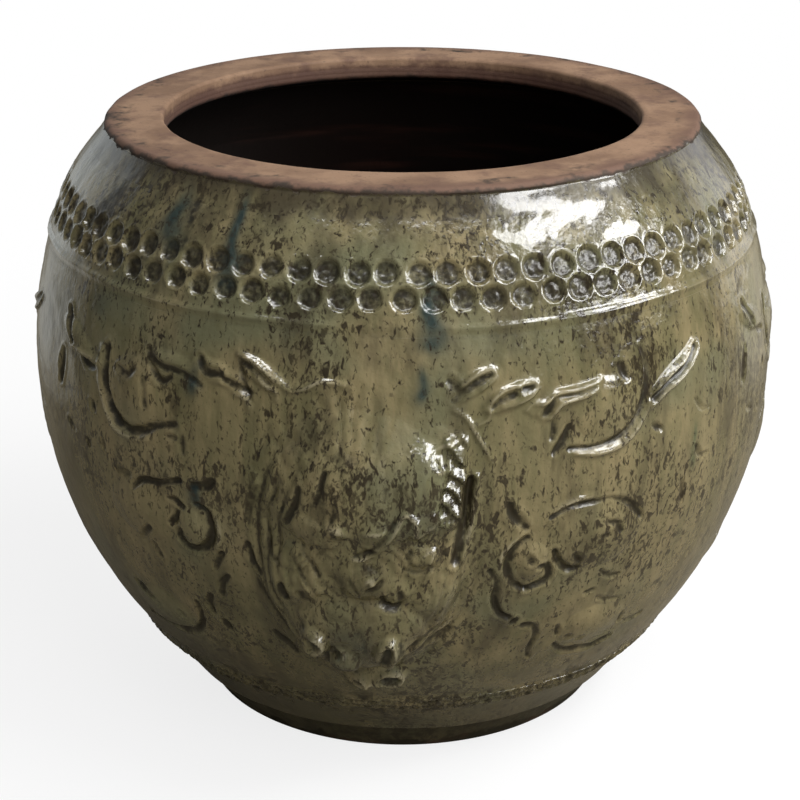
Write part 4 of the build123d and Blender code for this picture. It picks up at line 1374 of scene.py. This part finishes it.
def make_jar():
    wall = Wall()
    make_floor_slab()
    make_foot()
    wall_piece(wall, "lower_wall", FOOT_HEIGHT, LOWER_JOINT_HEIGHT)
    wall_piece(wall, "belly_lower_wall", LOWER_JOINT_HEIGHT, BELLY_HEIGHT)
    wall_piece(wall, "belly_upper_wall", BELLY_HEIGHT, SHOULDER_HEIGHT)
    for number, (node, _) in enumerate(wall.layers):
        if node != "lower_stamped_band":
            laid_piece(wall, number)
    row = pressed_row_tree()
    make_stamped_band(row)
    make_dimpled_band(row)
    make_shoulder()
    make_rim()


# Camera, light and floor
CAMERA_PLACE = (0.1157, -1.1003, 0.6056)
CAMERA_PITCH = 21.79
CAMERA_TURN = 6.0
LAMPS_AIM = Vector((0, 0, 0.19))
WHITE = (1, 1, 1)

# Lamps: name, degrees round from the front and up, distance, size, power, colour, softness, unseen rays
HARD, SOFT = False, True
LAMPS = [
    ("right window, upper pane", 80, 50, 1.7, (1.35, 0.28), 19, WHITE, HARD, ()),
    ("right window, lower pane", 86, 33, 1.7, (0.45, 0.22), 5.5, WHITE, HARD, ()),
    ("right window, sill", 74, 22, 1.7, (0.95, 0.27), 12.5, WHITE, HARD, ("diffuse",)),
    ("lamp overhead", 0, 77, 1.9, (1.25, 0.36), 20, WHITE, HARD, ("diffuse",)),
    ("left window", -134, 14, 2.0, (2.4, 2.0), 8, (0.90, 0.96, 0.97), SOFT, ("diffuse",)),
    ("right far window", 132, 10, 2.0, (1.8, 1.6), 8, (0.97, 0.97, 1.0), SOFT, ("diffuse",)),
    ("left card", -114, -2, 0.56, (0.50, 0.34), 0.20, (0.94, 0.98, 0.97), SOFT, ("diffuse", "camera")),
    ("right card", 124, -2, 0.56, (0.46, 0.34), 0.22, (1.0, 0.93, 0.74), SOFT, ("diffuse", "camera")),
    ("room light", 42, 40, 1.9, (1.6, 1.6), 29, WHITE, HARD, ("glossy",)),
    ("light from behind", 196, 38, 2.2, (1.8, 1.4), 12, WHITE, HARD, ("glossy",)),
    ("light off the wall", 24, 12, 2.2, (2.0, 1.2), 8, (1.0, 0.98, 0.94), HARD, ("glossy",)),
]
ROOM_STRENGTH = 0.34
MIRRORED_ROOM_STRENGTH = 0.08
FLOOR_REACH = 6.0


def make_camera():
    camera = bpy.data.cameras.new("camera")
    camera.lens = 91.1
    camera.shift_x = -0.0034
    camera.clip_end = 20
    body = bpy.data.objects.new("camera", camera)
    body.location = CAMERA_PLACE
    body.rotation_euler = Euler((math.radians(90 - CAMERA_PITCH), 0, math.radians(CAMERA_TURN)))
    bpy.context.scene.collection.objects.link(body)
    bpy.context.scene.camera = body


def soften(lamp):
    """Fades a lamp out towards its edges, so that its sheen on the glaze has no hard border."""
    lamp.use_nodes = True
    t = Tree(lamp.node_tree)
    place = t.split(t.add("ShaderNodeNewGeometry").outputs["Parametric"])
    fades = [t.times(place[k], t.less(1.0, place[k])) for k in (0, 1)]
    t.feed(lamp.node_tree.nodes["Emission"].inputs["Strength"], t.spread(t.times(*fades), 0.0, 1 / 16))


def make_lamp(name, azimuth, elevation, distance, size, power, colour, soft, unseen):
    """Broad lamp like a window, aimed at the jar. Azimuth 0 is in front, 90 to its right."""
    lamp = bpy.data.lights.new(name, "AREA")
    lamp.shape = "RECTANGLE"
    lamp.size, lamp.size_y = size
    lamp.energy = power
    lamp.color = colour
    if soft:
        soften(lamp)
    body = bpy.data.objects.new(name, lamp)
    a, e = math.radians(azimuth), math.radians(elevation)
    back = Vector((math.sin(a) * math.cos(e), -math.cos(a) * math.cos(e), math.sin(e)))
    body.location = LAMPS_AIM + back * distance
    body.rotation_euler = back.to_track_quat("Z", "Y").to_euler()
    for rays in unseen:
        setattr(body, "visible_" + rays, False)
    bpy.context.scene.collection.objects.link(body)


def make_room():
    """White room to the camera, plain light on the jar, and darker in the glaze's reflections."""
    world = bpy.data.worlds.new("room")
    bpy.context.scene.world = world
    world.use_nodes = True
    room = world.node_tree.nodes["Background"]
    t = Tree(world.node_tree)
    path = t.add("ShaderNodeLightPath").outputs
    strength = t.scaled(path["Is Glossy Ray"], MIRRORED_ROOM_STRENGTH - ROOM_STRENGTH, ROOM_STRENGTH)
    room.inputs["Color"].default_value = (*WHITE, 1)
    t.feed(room.inputs["Strength"], t.sum("MAXIMUM", strength, path["Is Camera Ray"]))


def make_floor():
    """Pale floor that keeps the jar's shadow, and throws little light back up at the glaze."""
    material, t, shader = new_material("pale floor")
    shader.inputs["Base Color"].default_value = (0.82, 0.82, 0.82, 1)
    shader.inputs["Roughness"].default_value = 0.9
    shader.inputs["Specular IOR Level"].default_value = 0.2
    white = t.add("ShaderNodeEmission", {"Strength": 1.0})
    share = t.spread(t.length(t.place()), 0.30, 0.95, 0.80, 1.0)
    seen = t.add("ShaderNodeMixShader", {0: share, 1: shader, 2: white})
    dim = t.add("ShaderNodeBsdfDiffuse", {"Color": (0.17, 0.15, 0.11, 1)})
    direct = t.add("ShaderNodeLightPath").outputs["Is Camera Ray"]
    both = t.add("ShaderNodeMixShader", {0: direct, 1: dim, 2: seen})
    t.feed(material.node_tree.nodes["Material Output"].inputs["Surface"], both)
    mesh = bpy.data.meshes.new("floor")
    corners = [(x * FLOOR_REACH, y * FLOOR_REACH, 0) for x, y in ((-1, -1), (1, -1), (1, 1), (-1, 1))]
    mesh.from_pydata(corners, [], [(0, 1, 2, 3)])
    mesh.materials.append(material)
    body = bpy.data.objects.new("floor", mesh)
    bpy.context.scene.collection.objects.link(body)


make_camera()
fleck_group()
surface_group()
glaze, lip, inside, foot = olive_glaze(), lip_clay(), dark_inside(), dark_foot()
make_jar()
for lamp in LAMPS:
    make_lamp(*lamp)
make_room()
make_floor()
bpy.context.scene.view_settings.view_transform = "Standard"
